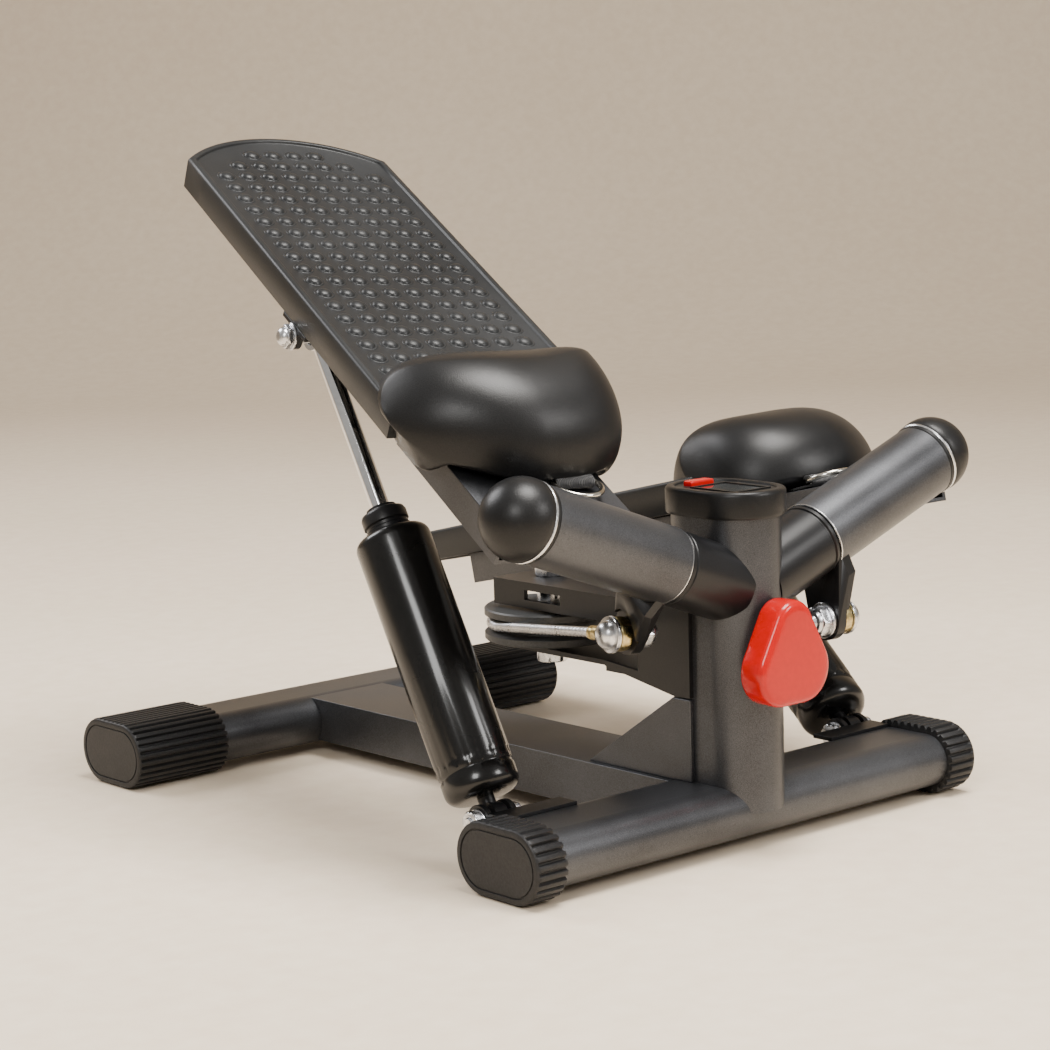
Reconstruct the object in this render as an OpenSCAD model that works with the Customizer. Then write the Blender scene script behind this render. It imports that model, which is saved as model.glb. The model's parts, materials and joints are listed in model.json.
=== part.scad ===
// Two-pedal stepper with inclined pivots, hydraulic dampers and a balancing cable.
// Millimetres. Z is up, +Y points to the rear, X = 0 is the plane between the pedals.
// The origin is on the ground under the centre of the front cross tube.

/* [Base] */
// Overall width of the base across its end caps
base_w = 356; // [344:2:372]
// Distance between the axes of the front and rear cross tubes
rear_y = 378; // [366:2:396]
// Width of the flat-oval cross tubes, front to back
tube_w = 60; // [58:1:62]
// Height of the flat-oval cross tubes
tube_h = 32; // [31:0.5:33]
// Length of a front end cap along its tube
front_cap_l = 22; // [20:1:26]
// Length of a rear end cap along its tube
rear_cap_l = 69; // [60:1:76]

/* [Post] */
// Width of the post across its two flats
post_w = 48; // [47:0.5:49]
// Depth of the post, front to back
post_d = 68; // [66:1:70]
// Height of the post's top above the ground
post_top = 190; // [186:1:194]

/* [Pedals] */
// Tilt of the pivot axes above the horizontal
incline = 20; // [19:0.5:21]
// Width of a pedal
pedal_w = 138; // [134:1:140]
// Lift of the raised left pedal
lift_left = 33; // [31:0.5:33.5]
// Lift of the lowered right pedal, below zero when it slopes down to the rear
lift_right = -8.5; // [-8.5:0.5:-6]
// Pitch of the bumps on the tread
bump_pitch = 15; // [14:0.5:15]

/* [Dampers] */
// Diameter of a damper's body
damper_d = 44; // [42:1:45]
// Distance from the lower eye to the top of the gland
gland_top = 192; // [188:1:192.5]

/* [Hidden] */
$fn = 64;
hull_fn = 28;
eps = 0.01;

LEFT = -1;
RIGHT = 1;

// Base
wall = 2;
cap_t = 4;                              // how far an end cap stands proud of its tube
cap_end = 3.5;
tube_z = tube_h / 2 + 5;
cap_h = tube_z * 2;
spine_w = 62;
spine_z0 = 8.5;
spine_z1 = 36.5;
post_foot = 22;

// Pivots. An axis starts on the machine's middle plane and climbs outward.
pivot_y = -11;
pivot_z = 147;
axis_dir = [-cos(incline), 0, sin(incline)];
shaft_r = 10;
sleeve_r = 22;
sleeve_in = 18;
sleeve_t0 = 63;
sleeve_t1 = 165;
collar_r = 20.5;
dome_l = 31;
dome_r = 22.5;

// Pedal frame: u across toward the middle, v to the rear, w up from the tread's top
pedal_at = [-126.4, 128.4, 206.7];
pedal_tilt = -4.7;
tread_t = 20;
tread_front = -62;
arc_v = 203;
arc_r = 92;
bump_rows = 19;
arm_u = [-45, 42];
arm_rear_u0 = -22;                      // the arm narrows here to clear the damper
arm_step_v = -15;
arm_w = [-40, -20];
arm_v = [-150, 228];

// Lug and cable
lug_t = 72;
lug_drop = 54;
bolt_r = 5;
pulley_y = 150;
pulley_r = 41;
cable_r = 3;
wrap_r = 37;
cable_z = 110;
rope_fn = 20;

// Dampers
damper_foot = [-145, 40, 32.5];
pin_uvw = [-51, 87, -28];
rod_r = 5.5;
pin_r = 4;

// ---- Vector helpers -----------------------------------------------------------------
function unit(v) = v / norm(v);
function turned(p, a, ang) = p * cos(ang) + cross(a, p) * sin(ang) + a * (a * p) * (1 - cos(ang));
function pedal_point(uvw) = pedal_at + [uvw[0],
    uvw[1] * cos(pedal_tilt) - uvw[2] * sin(pedal_tilt),
    uvw[1] * sin(pedal_tilt) + uvw[2] * cos(pedal_tilt)];
function pivot_at() = [0, pivot_y, pivot_z];
function lifted(p, lift) = pivot_at() + turned(p - pivot_at(), axis_dir, -lift);
function lug_point() = pivot_at() + axis_dir * lug_t
    + lug_drop * [-sin(incline), 0, -cos(incline)];
function lift_of(side) = side == LEFT ? lift_left : lift_right;

// ---- Placing helpers ----------------------------------------------------------------
// Everything paired is drawn for the left side and mirrored for the right side.
module on_side(side) { mirror([side == RIGHT ? 1 : 0, 0, 0]) children(); }
module swung(side) {
    on_side(side) translate(pivot_at()) rotate(a = -lift_of(side), v = axis_dir)
        translate(-pivot_at()) children();
}
// Local Z runs outward along the pivot axis.
module on_axis() { translate(pivot_at()) rotate([0, -(90 - incline), 0]) children(); }
module in_pedal() { translate(pedal_at) rotate([pedal_tilt, 0, 0]) children(); }
module along_x(len) { rotate([90, 0, 90]) linear_extrude(len, center = true) children(); }
// Points local Z from p toward q, keeping local X as level as it can be.
module aimed(p, q) {
    d = unit(q - p);
    translate(p) rotate([0, acos(d[2]), atan2(d[1], d[0])]) children();
}
module stadium(w, h) {
    square([w - h, h], center = true);
    for (s = [-1, 1]) translate([s * (w - h) / 2, 0]) circle(d = h);
}
module ring(r_out, r_in, h) {
    linear_extrude(h) difference() {
        circle(r_out);
        circle(r_in);
    }
}
module hexagon(across, h) { cylinder(d = across / cos(30), h = h, $fn = 6); }
module drilled(r) {
    difference() {
        children();
        translate([0, 0, -1]) cylinder(r = r, h = 40);
    }
}

// ---- Base ---------------------------------------------------------------------------
module tube_solid(len, y) { translate([0, y, tube_z]) along_x(len) stadium(tube_w, tube_h); }
module cross_tube(y) {
    color("dimgray") difference() {
        tube_solid(base_w - 2 * cap_end, y);
        translate([0, y, tube_z]) along_x(base_w) stadium(tube_w - 2 * wall, tube_h - 2 * wall);
    }
}
module front_tube() { cross_tube(0); }
module rear_tube() { cross_tube(rear_y); }
module end_caps(y, len) {
    color([0.09, 0.09, 0.1]) for (s = [-1, 1]) difference() {
        translate([s * (base_w - len) / 2, y, tube_z])
            along_x(len) stadium(tube_w + 2 * cap_t, cap_h);
        translate([s * (base_w / 2 - cap_end - len), y, tube_z])
            along_x(2 * len) stadium(tube_w, tube_h);
    }
}
module front_end_caps() { end_caps(0, front_cap_l); }
module rear_end_caps() { end_caps(rear_y, rear_cap_l); }
module spine_box(inset) {
    translate([-spine_w / 2 + inset, 0, spine_z0 + inset])
        cube([spine_w - 2 * inset, rear_y, spine_z1 - spine_z0 - 2 * inset]);
}
module spine_tube() {
    color("dimgray") difference() {
        spine_box(0);
        spine_box(wall);
        tube_solid(base_w, 0);
        tube_solid(base_w, rear_y);
    }
}
module post_plan(grow) { rotate(90) stadium(post_d + 2 * grow, post_w + 2 * grow); }
module post_solid() {
    translate([0, 0, post_foot]) linear_extrude(post_top - post_foot) post_plan(0);
}
module post() {
    color("dimgray") difference() {
        post_solid();
        translate([0, 0, post_foot - 1]) linear_extrude(post_top) post_plan(-2.5);
        tube_solid(base_w, 0);
        spine_box(0);
        for (s = [LEFT, RIGHT]) on_side(s) on_axis() cylinder(r = shaft_r, h = 80);
        translate([0, -post_d / 2 - 5, knob_z]) rotate([-90, 0, 0]) cylinder(r = screw_r, h = 15);
    }
}
gusset_t = 3;
module post_gussets() {
    color("dimgray") difference() {
        for (s = [-1, 1]) translate([s * (post_w + gusset_t) / 2, 0, 0]) along_x(gusset_t)
            polygon([[4, spine_z1], [90, spine_z1], [18, 85], [4, 85]]);
        tube_solid(base_w, 0);
    }
}

// ---- Pulley -------------------------------------------------------------------------
bracket_w = 54;
bracket_z1 = 138;
bracket_y1 = 172;
slot_y = 112;
pulley_z0 = 100;
pulley_t = 20;
module pulley_bracket() {
    color([0.12, 0.12, 0.13]) difference() {
        union() {
            translate([-bracket_w / 2, 0, bracket_z1 - 3]) cube([bracket_w, bracket_y1, 3]);
            for (s = [-1, 1]) translate([s * (bracket_w - gusset_t) / 2, 0, 0]) {
                translate([-gusset_t / 2, 0, 122]) cube([gusset_t, bracket_y1, 14]);
                translate([-gusset_t / 2, 0, 92]) cube([gusset_t, 46, 44]);
                along_x(gusset_t) polygon([[0, 92.5], [0, 86], [18, 86], [74, 96], [74, 99]]);
            }
            translate([-bracket_w / 2, 43, 96]) cube([bracket_w, 3, 40]);
            translate([-16, 45, 93]) cube([32, bracket_y1 - 45, 3]);
            translate([-bracket_w / 2, 43, 93]) cube([bracket_w, 30, 3]);
        }
        post_solid();
        translate([-bracket_w, slot_y, 127]) cube([2 * bracket_w, 32, 6]);
        translate([0, pulley_y, 80]) cylinder(r = 5, h = 70);
        translate([-bracket_w, -1, 80]) cube([2 * bracket_w, 5, 60]);
    }
}
module pulley_bolt() {
    color("silver") translate([0, pulley_y, 0]) {
        translate([0, 0, bracket_z1]) hexagon(17, 7);
        translate([0, 0, 84]) cylinder(r = 5, h = bracket_z1 - 84 + eps);
        difference() {
            translate([0, 0, 85]) hexagon(17, 8);
            translate([0, 0, 80]) cylinder(r = 5, h = 20);
        }
    }
}
module pulley_bush() {
    color([0.7, 0.62, 0.4]) translate([0, pulley_y, 96.4]) ring(8.5, 5.06, bracket_z1 - 3.4 - 96.4);
}
module pulley_wheel() {
    groove_z = pulley_t / 2;
    color([0.08, 0.08, 0.09]) translate([0, pulley_y, pulley_z0]) rotate_extrude($fn = 96)
        polygon(concat([[8.5, -2], [17, -2], [17, 0], [pulley_r - 1, 0], [pulley_r, 1],
            [pulley_r, 4.5]],
            [for (a = [-60 : 15 : 60]) [wrap_r - 3.6 * cos(a) + 0.1, groove_z + 4.4 * sin(a)]],
            [[pulley_r, pulley_t - 4.5], [pulley_r, pulley_t - 1], [pulley_r - 1, pulley_t],
            [17, pulley_t], [17, pulley_t + 1], [8.5, pulley_t + 1]]));
}

// The cable's runs leave the pulley where lines from the two lug bolts touch its groove.
eye_u = 54;
ferrule_l = 28;
cable_gap = 2;
function lug_bolt_at(u) = [pedal_at[0] + u, lug_point()[1], lug_point()[2]];
function eye_centre(lift) = lifted(lug_bolt_at(eye_u), lift);
function bolt_dir(lift) = turned([1, 0, 0], axis_dir, -lift);
function touch_angle(e) = atan2(pulley_y - e[1], -e[0])
    + asin(wrap_r / norm([e[0], pulley_y - e[1]]));
function touch_point(e) = [-wrap_r * sin(touch_angle(e)), pulley_y
    + wrap_r * cos(touch_angle(e)), cable_z];
function across_bolt(d, b) = unit(d - b * (b * d));
function ferrule_dir(lift) = across_bolt(touch_point(eye_centre(lift)) - eye_centre(lift),
    bolt_dir(lift));
module cable() {
    p = touch_point(eye_centre(lift_left));
    start = eye_centre(lift_left) + ferrule_dir(lift_left) * (ferrule_l + cable_gap);
    half = 90 - atan2(p[1] - pulley_y, -p[0]);
    color([0.75, 0.76, 0.78]) {
        for (s = [LEFT, RIGHT]) on_side(s) {
            aimed(start, p) cylinder(r = cable_r, h = norm(p - start), $fn = rope_fn);
            translate(p) sphere(cable_r, $fn = rope_fn);
        }
        translate([0, pulley_y, cable_z]) rotate(90 - half) rotate_extrude(angle = 2 * half)
            translate([wrap_r, 0]) circle(cable_r, $fn = rope_fn);
    }
}

// ---- Pivot pieces that stay with the post ---------------------------------------------
module pivot_shafts() {
    color("silver") for (s = [LEFT, RIGHT]) on_side(s) on_axis()
        translate([0, 0, 12]) cylinder(r = shaft_r, h = sleeve_t1 + 15 - 12);
}
collar_t0 = 20;                         // starts inside the post, which then trims it
module pivot_collars() {
    color([0.15, 0.15, 0.16]) for (s = [LEFT, RIGHT]) difference() {
        on_side(s) on_axis() translate([0, 0, collar_t0])
            ring(collar_r, shaft_r, sleeve_t0 - 0.5 - collar_t0);
        post_solid();
    }
}
module shaft_nuts() {
    color("silver") for (s = [LEFT, RIGHT]) on_side(s) on_axis()
        translate([0, 0, sleeve_t1 + 0.6]) drilled(shaft_r) {
            cylinder(r = 15, h = 2);
            translate([0, 0, 2]) hexagon(24, 9);
        }
}

// ---- Console and knob ------------------------------------------------------------------
knob_z = 115;
knob_y = -post_d / 2;
screw_r = 5;
knob_nut_z = 4.9;                       // the nut's corners clear the post's round front wall
console_h = 15.5;
console_lip = 3;
lens_y = -4;
lens = [26, 34];
button_y = 21;
button = [20, 10];
module console_housing() {
    color([0.1, 0.1, 0.11]) translate([0, 0, post_top]) difference() {
        linear_extrude(console_h) post_plan(console_lip);
        translate([0, 0, console_h - 1.5]) linear_extrude(5) post_plan(-1.5);
        translate([0, lens_y, console_h - 6]) linear_extrude(8) square(lens, center = true);
        translate([0, button_y, 3]) linear_extrude(15) square(button + [0.4, 0.4], center = true);
    }
}
module console_lens() {
    color([0.2, 0.24, 0.24]) translate([0, lens_y, post_top + console_h - 3.4])
        linear_extrude(1.4) square(lens, center = true);
}
module console_button() {
    color("red") translate([0, button_y, post_top + 7])
        linear_extrude(12) square(button, center = true);
}
// Rounded three-cornered outline with its small corner up
module knob_plan(grow) {
    hull() {
        translate([0, 18]) circle(12.5 + grow);
        for (s = [-1, 1]) translate([s * 10, -11]) circle(18 + grow);
    }
}
module knob() {
    color("red") translate([0, knob_y, knob_z]) rotate([90, 0, 0]) {
        translate([0, 0, 2.5]) linear_extrude(2.5) knob_plan(-1);
        translate([0, 0, 5]) linear_extrude(12) knob_plan(0);
        translate([0, 0, 17]) linear_extrude(3) knob_plan(-1.2);
        translate([0, 0, 0.6]) cylinder(r = 11, h = 2);
    }
}
// A stub through the post's front wall with its nut inside the post
module knob_screw() {
    color("silver") translate([0, knob_y, knob_z]) rotate([-90, 0, 0]) {
        translate([0, 0, -0.4]) cylinder(r = screw_r, h = 18);
        translate([0, 0, knob_nut_z]) drilled(screw_r) hexagon(16, 8);
    }
}

// ---- Pedal assembly ---------------------------------------------------------------------
module sleeve(side) {
    color("dimgray") swung(side) on_axis() translate([0, 0, sleeve_t0])
        ring(sleeve_r, sleeve_in, sleeve_t1 - sleeve_t0);
}
module bushes(side) {
    bush_l = 18;
    color([0.85, 0.82, 0.7]) swung(side) on_axis()
        for (t = [sleeve_t0, sleeve_t1 - bush_l]) translate([0, 0, t])
            ring(sleeve_in, shaft_r + 0.06, bush_l);
}
module dome_cap(side) {
    r = dome_r;
    color([0.08, 0.08, 0.09]) swung(side) on_axis() translate([0, 0, sleeve_t1])
        rotate_extrude() polygon(concat([[r - 3, 0], [r, 0], [r, 6]],
            [for (a = [10 : 10 : 80]) [r * cos(a), 6 + (dome_l - 6) * sin(a)]],
            [[0, dome_l], [0, dome_l - 3]],
            [for (a = [80 : -10 : 0]) [(r - 3) * cos(a), 6 + (dome_l - 9) * sin(a)]]));
}
module sleeve_space() {
    on_axis() translate([0, 0, sleeve_t0]) cylinder(r = sleeve_r, h = sleeve_t1 - sleeve_t0);
}
module arm_box(inset) {
    for (stretch = [[arm_u[0], arm_v[0], arm_step_v], [arm_rear_u0, arm_v[0], arm_v[1]]])
        translate([stretch[0] + inset, stretch[1] + inset, arm_w[0] + inset])
            cube([arm_u[1] - stretch[0] - 2 * inset, stretch[2] - stretch[1] - 2 * inset,
                arm_w[1] - arm_w[0] - 2 * inset]);
}
module arm(side) {
    color("dimgray") swung(side) difference() {
        in_pedal() difference() {
            arm_box(0);
            arm_box(2.5);
        }
        in_pedal() translate([-100, arm_v[0] - 20, -100]) cube([200, 32, 100]);
        sleeve_space();
        on_axis() translate([0, 0, sleeve_t1 - eps]) cylinder(r = dome_r + 0.7, h = dome_l + 2);
        on_axis() cylinder(r = collar_r + 1, h = sleeve_t0);
    }
}
// A cranked plate: a pad welded under the sleeve's inner end, drawn down to the bolt's eye
module lug(side) {
    plate_u = 61.5;
    plate_t = 6;
    color([0.1, 0.1, 0.11]) swung(side) difference() {
        hull() {
            translate(lug_bolt_at(plate_u)) along_x(plate_t) circle(12, $fn = hull_fn);
            on_axis() translate([-25, -17, sleeve_t0 + 1]) cube([17, 34, plate_t]);
        }
        translate(lug_bolt_at(plate_u)) rotate([0, 90, 0]) {
            cylinder(r = bolt_r, h = 30, center = true);
            translate([0, 0, -plate_t / 2 - 20]) cylinder(r = 14, h = 20);
        }
        sleeve_space();
        on_axis() cylinder(r = collar_r + 0.7, h = sleeve_t0 + 0.4);
    }
}
// Head, washers and nut on one bolt; x runs along the bolt from the tread's middle line
module lug_bolt(side) {
    color("silver") swung(side) translate(lug_bolt_at(0)) rotate([0, 90, 0]) {
        translate([0, 0, 41]) cylinder(r = bolt_r, h = 36);
        translate([0, 0, 41]) drilled(bolt_r) hexagon(16, 6.6);
        for (z = [47.6, 64.6]) translate([0, 0, z]) drilled(bolt_r) cylinder(r = 10.5, h = 1.8);
        translate([0, 0, 66.4]) drilled(bolt_r) hexagon(16, 8);
    }
}
module cable_eye(side) {
    lift = lift_of(side);
    c = eye_centre(lift);
    b = bolt_dir(lift);
    d = ferrule_dir(lift);
    color([0.75, 0.65, 0.4]) on_side(side) {
        difference() {
            aimed(c - b * 4, c + b * 4) cylinder(r = 9.5, h = 8);
            aimed(c - b * 6, c + b * 6) cylinder(r = bolt_r + 0.06, h = 12);
        }
        aimed(c + d * 8, c + d * 9) cylinder(r = 3.7, h = ferrule_l - 8);
    }
}
// Plan of the tread: straight sides, an arched rear edge
module tread_plan(inset) {
    w = pedal_w - 2 * inset;
    intersection() {
        translate([-w / 2, tread_front + inset]) square([w, 400]);
        union() {
            translate([-w / 2, tread_front + inset]) square([w, arc_v - tread_front]);
            translate([0, arc_v]) circle(arc_r - inset, $fn = 128);
        }
    }
}
module tread(side) {
    skin = 3;
    color([0.11, 0.11, 0.12]) swung(side) in_pedal() {
        difference() {
            translate([0, 0, -tread_t]) linear_extrude(tread_t) tread_plan(0);
            translate([0, 0, -tread_t - 1]) linear_extrude(tread_t + 1 - skin) tread_plan(skin);
            translate([0, 0, -1]) linear_extrude(2) difference() {
                tread_plan(3.2);
                tread_plan(4.6);
            }
        }
        for (u = [-36, 0, 36]) translate([u - 1.25, tread_front + skin, -tread_t])
            cube([2.5, 340, tread_t - skin]);
        for (v = [-20 : 40 : 260]) translate([-pedal_w / 2 + skin, v, -tread_t])
            cube([pedal_w - 2 * skin, 2.5, tread_t - skin]);
        for (row = [0 : bump_rows - 1], col = [0 : 7])
            if (row < 17 || (row == 17 && col > 0 && col < 7) || (row == 18 && col > 1 && col < 6))
                translate([(col - 3.5) * (bump_pitch - 0.3), row * bump_pitch, -0.01])
                    cylinder(r1 = 4.4, r2 = 2.6, h = 1.5, $fn = 16);
    }
}
// Toe guard: a rounded bumper over the front end of the tread
module toe_guard(side) {
    color([0.1, 0.1, 0.11]) swung(side) in_pedal() difference() {
        hull() {
            for (s = [-1, 1]) {
                translate([s * 50, -24, 8]) sphere(20, $fn = hull_fn);
                translate([s * 44, -52, 12]) sphere(25, $fn = hull_fn);
                translate([s * 42, -58, -10]) sphere(22, $fn = hull_fn);
            }
            translate([0, -76, 6]) sphere(26, $fn = hull_fn);
            translate([0, -72, -14]) sphere(21, $fn = hull_fn);
        }
        translate([-pedal_w / 2, tread_front, -60]) cube([pedal_w, 200, 60]);
        translate([arm_u[0], -140, -80]) cube([arm_u[1] - arm_u[0], 200, 80 + arm_w[1]]);
    }
}
// A short webbing loop that lies on the arm in front of the guard
strap_u = 17;
strap_v = -101;
strap_w = 15;
module strap_loop(side) {
    color([0.07, 0.07, 0.08]) swung(side) in_pedal() difference() {
        translate([strap_u, 0, 0]) along_x(24) difference() {
            union() {
                translate([strap_v, -strap_w]) circle(4.4);
                translate([strap_v, -strap_w - 4.4]) square([20, 4]);
            }
            translate([strap_v, -strap_w]) circle(2.2);
        }
    }
}
ring_wire = 1.6;
module d_ring(side) {
    half = 14;
    color("silver") swung(side) in_pedal() translate([strap_u, strap_v, -strap_w]) rotate([-8, 0, 0]) {
        rotate([0, 90, 0]) translate([0, 0, -half]) cylinder(r = ring_wire, h = 2 * half);
        for (s = [-1, 1]) {
            translate([s * half, 0, 0]) sphere(ring_wire);
            translate([s * half, 0, 0]) rotate([90, 0, 0]) cylinder(r = ring_wire, h = 4);
        }
        translate([0, -4, 0]) rotate(180) rotate_extrude(angle = 180)
            translate([half, 0]) circle(ring_wire, $fn = 24);
    }
}

// ---- Damper -----------------------------------------------------------------------------
function pin_point(lift) = lifted(pedal_point(pin_uvw), lift);
function damper_vec(lift) = pin_point(lift) - damper_foot;
function damper_dir(lift) = unit(damper_vec(lift));
function damper_axis() = unit(cross(damper_vec(lift_left), damper_vec(lift_right)));
function damper_swing() = acos(damper_dir(lift_left) * damper_dir(lift_right));
// A direction fixed to something else, averaged over the damper's swing in its rest frame
function mid_dir(here, there, turn) = unit(here + turned(there, damper_axis(), turn));
function pin_dir(side) = side == LEFT
    ? mid_dir(bolt_dir(lift_left), bolt_dir(lift_right), -damper_swing())
    : mid_dir(bolt_dir(lift_right), bolt_dir(lift_left), damper_swing());
function foot_dir(side) = mid_dir([1, 0, 0], [1, 0, 0],
    side == LEFT ? -damper_swing() : damper_swing());
module on_damper(side) { on_side(side) aimed(damper_foot, pin_point(lift_of(side))) children(); }

body_z = [18, 176];
shoulder = 11;
piston_t = 12;
rod_l = 172;
eye_shift = 1.25;
eye_bore_r = 6.8;                       // loose on its pin: the eye rocks as the pedal turns
ear_t = 4;
ear_gap = 7.4;
ear_u = [-68.5, -44];
ear_r = 7.6;
module damper_body(side) {
    r = damper_d / 2;
    color([0.05, 0.05, 0.05]) on_damper(side) rotate_extrude() polygon(concat(
        [[0, body_z[0]], [r - 7, body_z[0]]],
        [for (a = [-60 : 30 : 0]) [r - 7 + 7 * cos(a), body_z[0] + 7 + 7 * sin(a)]],
        [for (a = [0 : 15 : 75])
            [r - shoulder + shoulder * cos(a), body_z[1] - shoulder + shoulder * sin(a)]],
        [[r - shoulder, body_z[1]], [8, body_z[1]], [8, body_z[1] - 8], [r - 4, body_z[1] - 14],
        [r - 4, body_z[0] + 6], [0, body_z[0] + 6]]));
}
module damper_gland(side) {
    color([0.1, 0.1, 0.1]) on_damper(side) rotate_extrude() polygon([
        [rod_r + 0.06, body_z[1] - 8], [8, body_z[1] - 8], [8, body_z[1]], [13.5, body_z[1]],
        [13.5, gland_top - 3], [10.5, gland_top], [rod_r + 0.06, gland_top]]);
}
module damper_eye(side) {
    color([0.1, 0.1, 0.1]) on_side(side) difference() {
        union() {
            b = foot_dir(side);
            aimed(damper_foot - b * 4.5, damper_foot + b * 4.5) cylinder(r = 9.2, h = 9);
            aimed(damper_foot, pin_point(lift_of(side))) cylinder(r = 4.8, h = body_z[0]);
        }
        b = foot_dir(side);
        aimed(damper_foot - b * 10, damper_foot + b * 10) cylinder(r = 5.2, h = 20);
    }
}
module damper_rod(side) {
    h = norm(damper_vec(lift_of(side)));
    color("silver") on_damper(side) translate([0, 0, h - rod_l + piston_t])
        cylinder(r = rod_r, h = rod_l - piston_t - 7);
}
module damper_piston(side) {
    h = norm(damper_vec(lift_of(side)));
    color("gray") on_damper(side) translate([0, 0, h - rod_l])
        cylinder(r = damper_d / 2 - 4.08, h = piston_t);
}
module rod_eye(side) {
    lift = lift_of(side);
    c = pin_point(lift) + damper_dir(lift) * eye_shift;
    b = pin_dir(side);
    color([0.3, 0.3, 0.31]) on_side(side) difference() {
        aimed(c - b * 4.5, c + b * 4.5) cylinder(r = 9.8, h = 9);
        aimed(c - b * 9, c + b * 9) cylinder(r = eye_bore_r, h = 18);
        aimed(damper_foot, c) cylinder(r = rod_r, h = norm(damper_vec(lift)) - 7);
    }
}
// Two ears under a plate that is open over the rod's eye and the inner nut
module damper_ear(side) {
    drop = arm_w[1] - pin_uvw[2];
    color([0.12, 0.12, 0.13]) swung(side) in_pedal() translate([0, pin_uvw[1], 0]) difference() {
        union() {
            for (u = ear_u) translate([u + ear_t / 2, 0, pin_uvw[2]]) along_x(ear_t) {
                circle(ear_r);
                translate([-ear_r, 0]) square([2 * ear_r, drop]);
                translate([-16, drop - 3]) square([32, 3]);
            }
            difference() {
                translate([ear_u[0], -16, arm_w[1] - 3]) cube([arm_rear_u0 - ear_u[0], 32, 3]);
                translate([ear_u[0] + ear_t, -11.5, arm_w[1] - 4]) cube([32, 23, 5]);
            }
        }
        translate([-100, 0, pin_uvw[2]]) rotate([0, 90, 0]) cylinder(r = pin_r, h = 100);
    }
}
module damper_pin(side) {
    nut_h = 6;
    color("silver") swung(side) in_pedal() translate([0, pin_uvw[1], pin_uvw[2]]) rotate([0, 90, 0]) {
        translate([0, 0, -77]) cylinder(r = pin_r, h = 43);
        for (u = [ear_u[0] - nut_h, ear_u[1] + ear_t])
            translate([0, 0, u]) rotate(30) drilled(pin_r) hexagon(13, nut_h);
    }
}
foot_t = 3.5;
module damper_brackets() {
    y = damper_foot[1];
    z = damper_foot[2];
    color("silver") for (s = [LEFT, RIGHT]) on_side(s) difference() {
        union() {
            for (e = [-1, 1])
                translate([damper_foot[0] + e * (ear_gap + foot_t / 2), 0, 0]) along_x(foot_t) {
                    translate([y, z]) circle(9.5);
                    polygon([[20, 10], [y, 14], [y + 9.4, z], [y - 8, z + 6], [20, z + 4]]);
                }
            translate([damper_foot[0] - ear_gap - foot_t, 16, z + 4]) cube([52, 15, 2.5]);
        }
        tube_solid(base_w, 0);
        translate([-base_w, y, z]) rotate([0, 90, 0]) cylinder(r = pin_r, h = base_w);
    }
}
module damper_bracket_bolts() {
    half = ear_gap + foot_t;
    color("silver") for (s = [LEFT, RIGHT]) on_side(s) translate(damper_foot) rotate([0, 90, 0]) {
        translate([0, 0, -half - 8]) cylinder(r = pin_r, h = 2 * half + 16);
        translate([0, 0, -half - 6]) drilled(pin_r) hexagon(13, 6);
        translate([0, 0, half]) drilled(pin_r) hexagon(13, 6);
    }
}

// ---- What is drawn ------------------------------------------------------------------------
front_tube();
rear_tube();
spine_tube();
post();
post_gussets();
pulley_bracket();
front_end_caps();
rear_end_caps();
pivot_shafts();
pivot_collars();
shaft_nuts();
damper_brackets();
damper_bracket_bolts();
pulley_bolt();
pulley_bush();
pulley_wheel();
cable();
console_housing();
console_lens();
console_button();
knob();
knob_screw();
sleeve(LEFT);  // sleeve_left
bushes(LEFT);  // bushes_left
dome_cap(LEFT);  // dome_cap_left
arm(LEFT);  // arm_left
lug(LEFT);  // lug_left
lug_bolt(LEFT);  // lug_bolt_left
tread(LEFT);  // tread_left
toe_guard(LEFT);  // toe_guard_left
damper_ear(LEFT);  // damper_ear_left
damper_pin(LEFT);  // damper_pin_left
strap_loop(LEFT);  // strap_loop_left
d_ring(LEFT);  // d_ring_left
cable_eye(LEFT);  // cable_eye_left
damper_body(LEFT);  // damper_body_left
damper_gland(LEFT);  // damper_gland_left
damper_eye(LEFT);  // damper_eye_left
damper_rod(LEFT);  // damper_rod_left
damper_piston(LEFT);  // damper_piston_left
rod_eye(LEFT);  // rod_eye_left
sleeve(RIGHT);  // sleeve_right
bushes(RIGHT);  // bushes_right
dome_cap(RIGHT);  // dome_cap_right
arm(RIGHT);  // arm_right
lug(RIGHT);  // lug_right
lug_bolt(RIGHT);  // lug_bolt_right
tread(RIGHT);  // tread_right
toe_guard(RIGHT);  // toe_guard_right
damper_ear(RIGHT);  // damper_ear_right
damper_pin(RIGHT);  // damper_pin_right
strap_loop(RIGHT);  // strap_loop_right
d_ring(RIGHT);  // d_ring_right
cable_eye(RIGHT);  // cable_eye_right
damper_body(RIGHT);  // damper_body_right
damper_gland(RIGHT);  // damper_gland_right
damper_eye(RIGHT);  // damper_eye_right
damper_rod(RIGHT);  // damper_rod_right
damper_piston(RIGHT);  // damper_piston_right
rod_eye(RIGHT);  // rod_eye_right
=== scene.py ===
# %% [markdown]
# # A two-pedal stepper, dressed in Blender
# The machine's frame, its sizes and its moving bodies come from a imported CAD model. This lesson
# adds the surfaces a viewer sees: moulded caps and guards, treads with bumps, wire rope, dampers,
# nuts, and a procedural finish for every piece. We load the frame first. Nothing that we add may
# reach outside it.

import json
import math
import bmesh
import bpy
import numpy as np
from mathutils import Matrix, Vector

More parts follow.
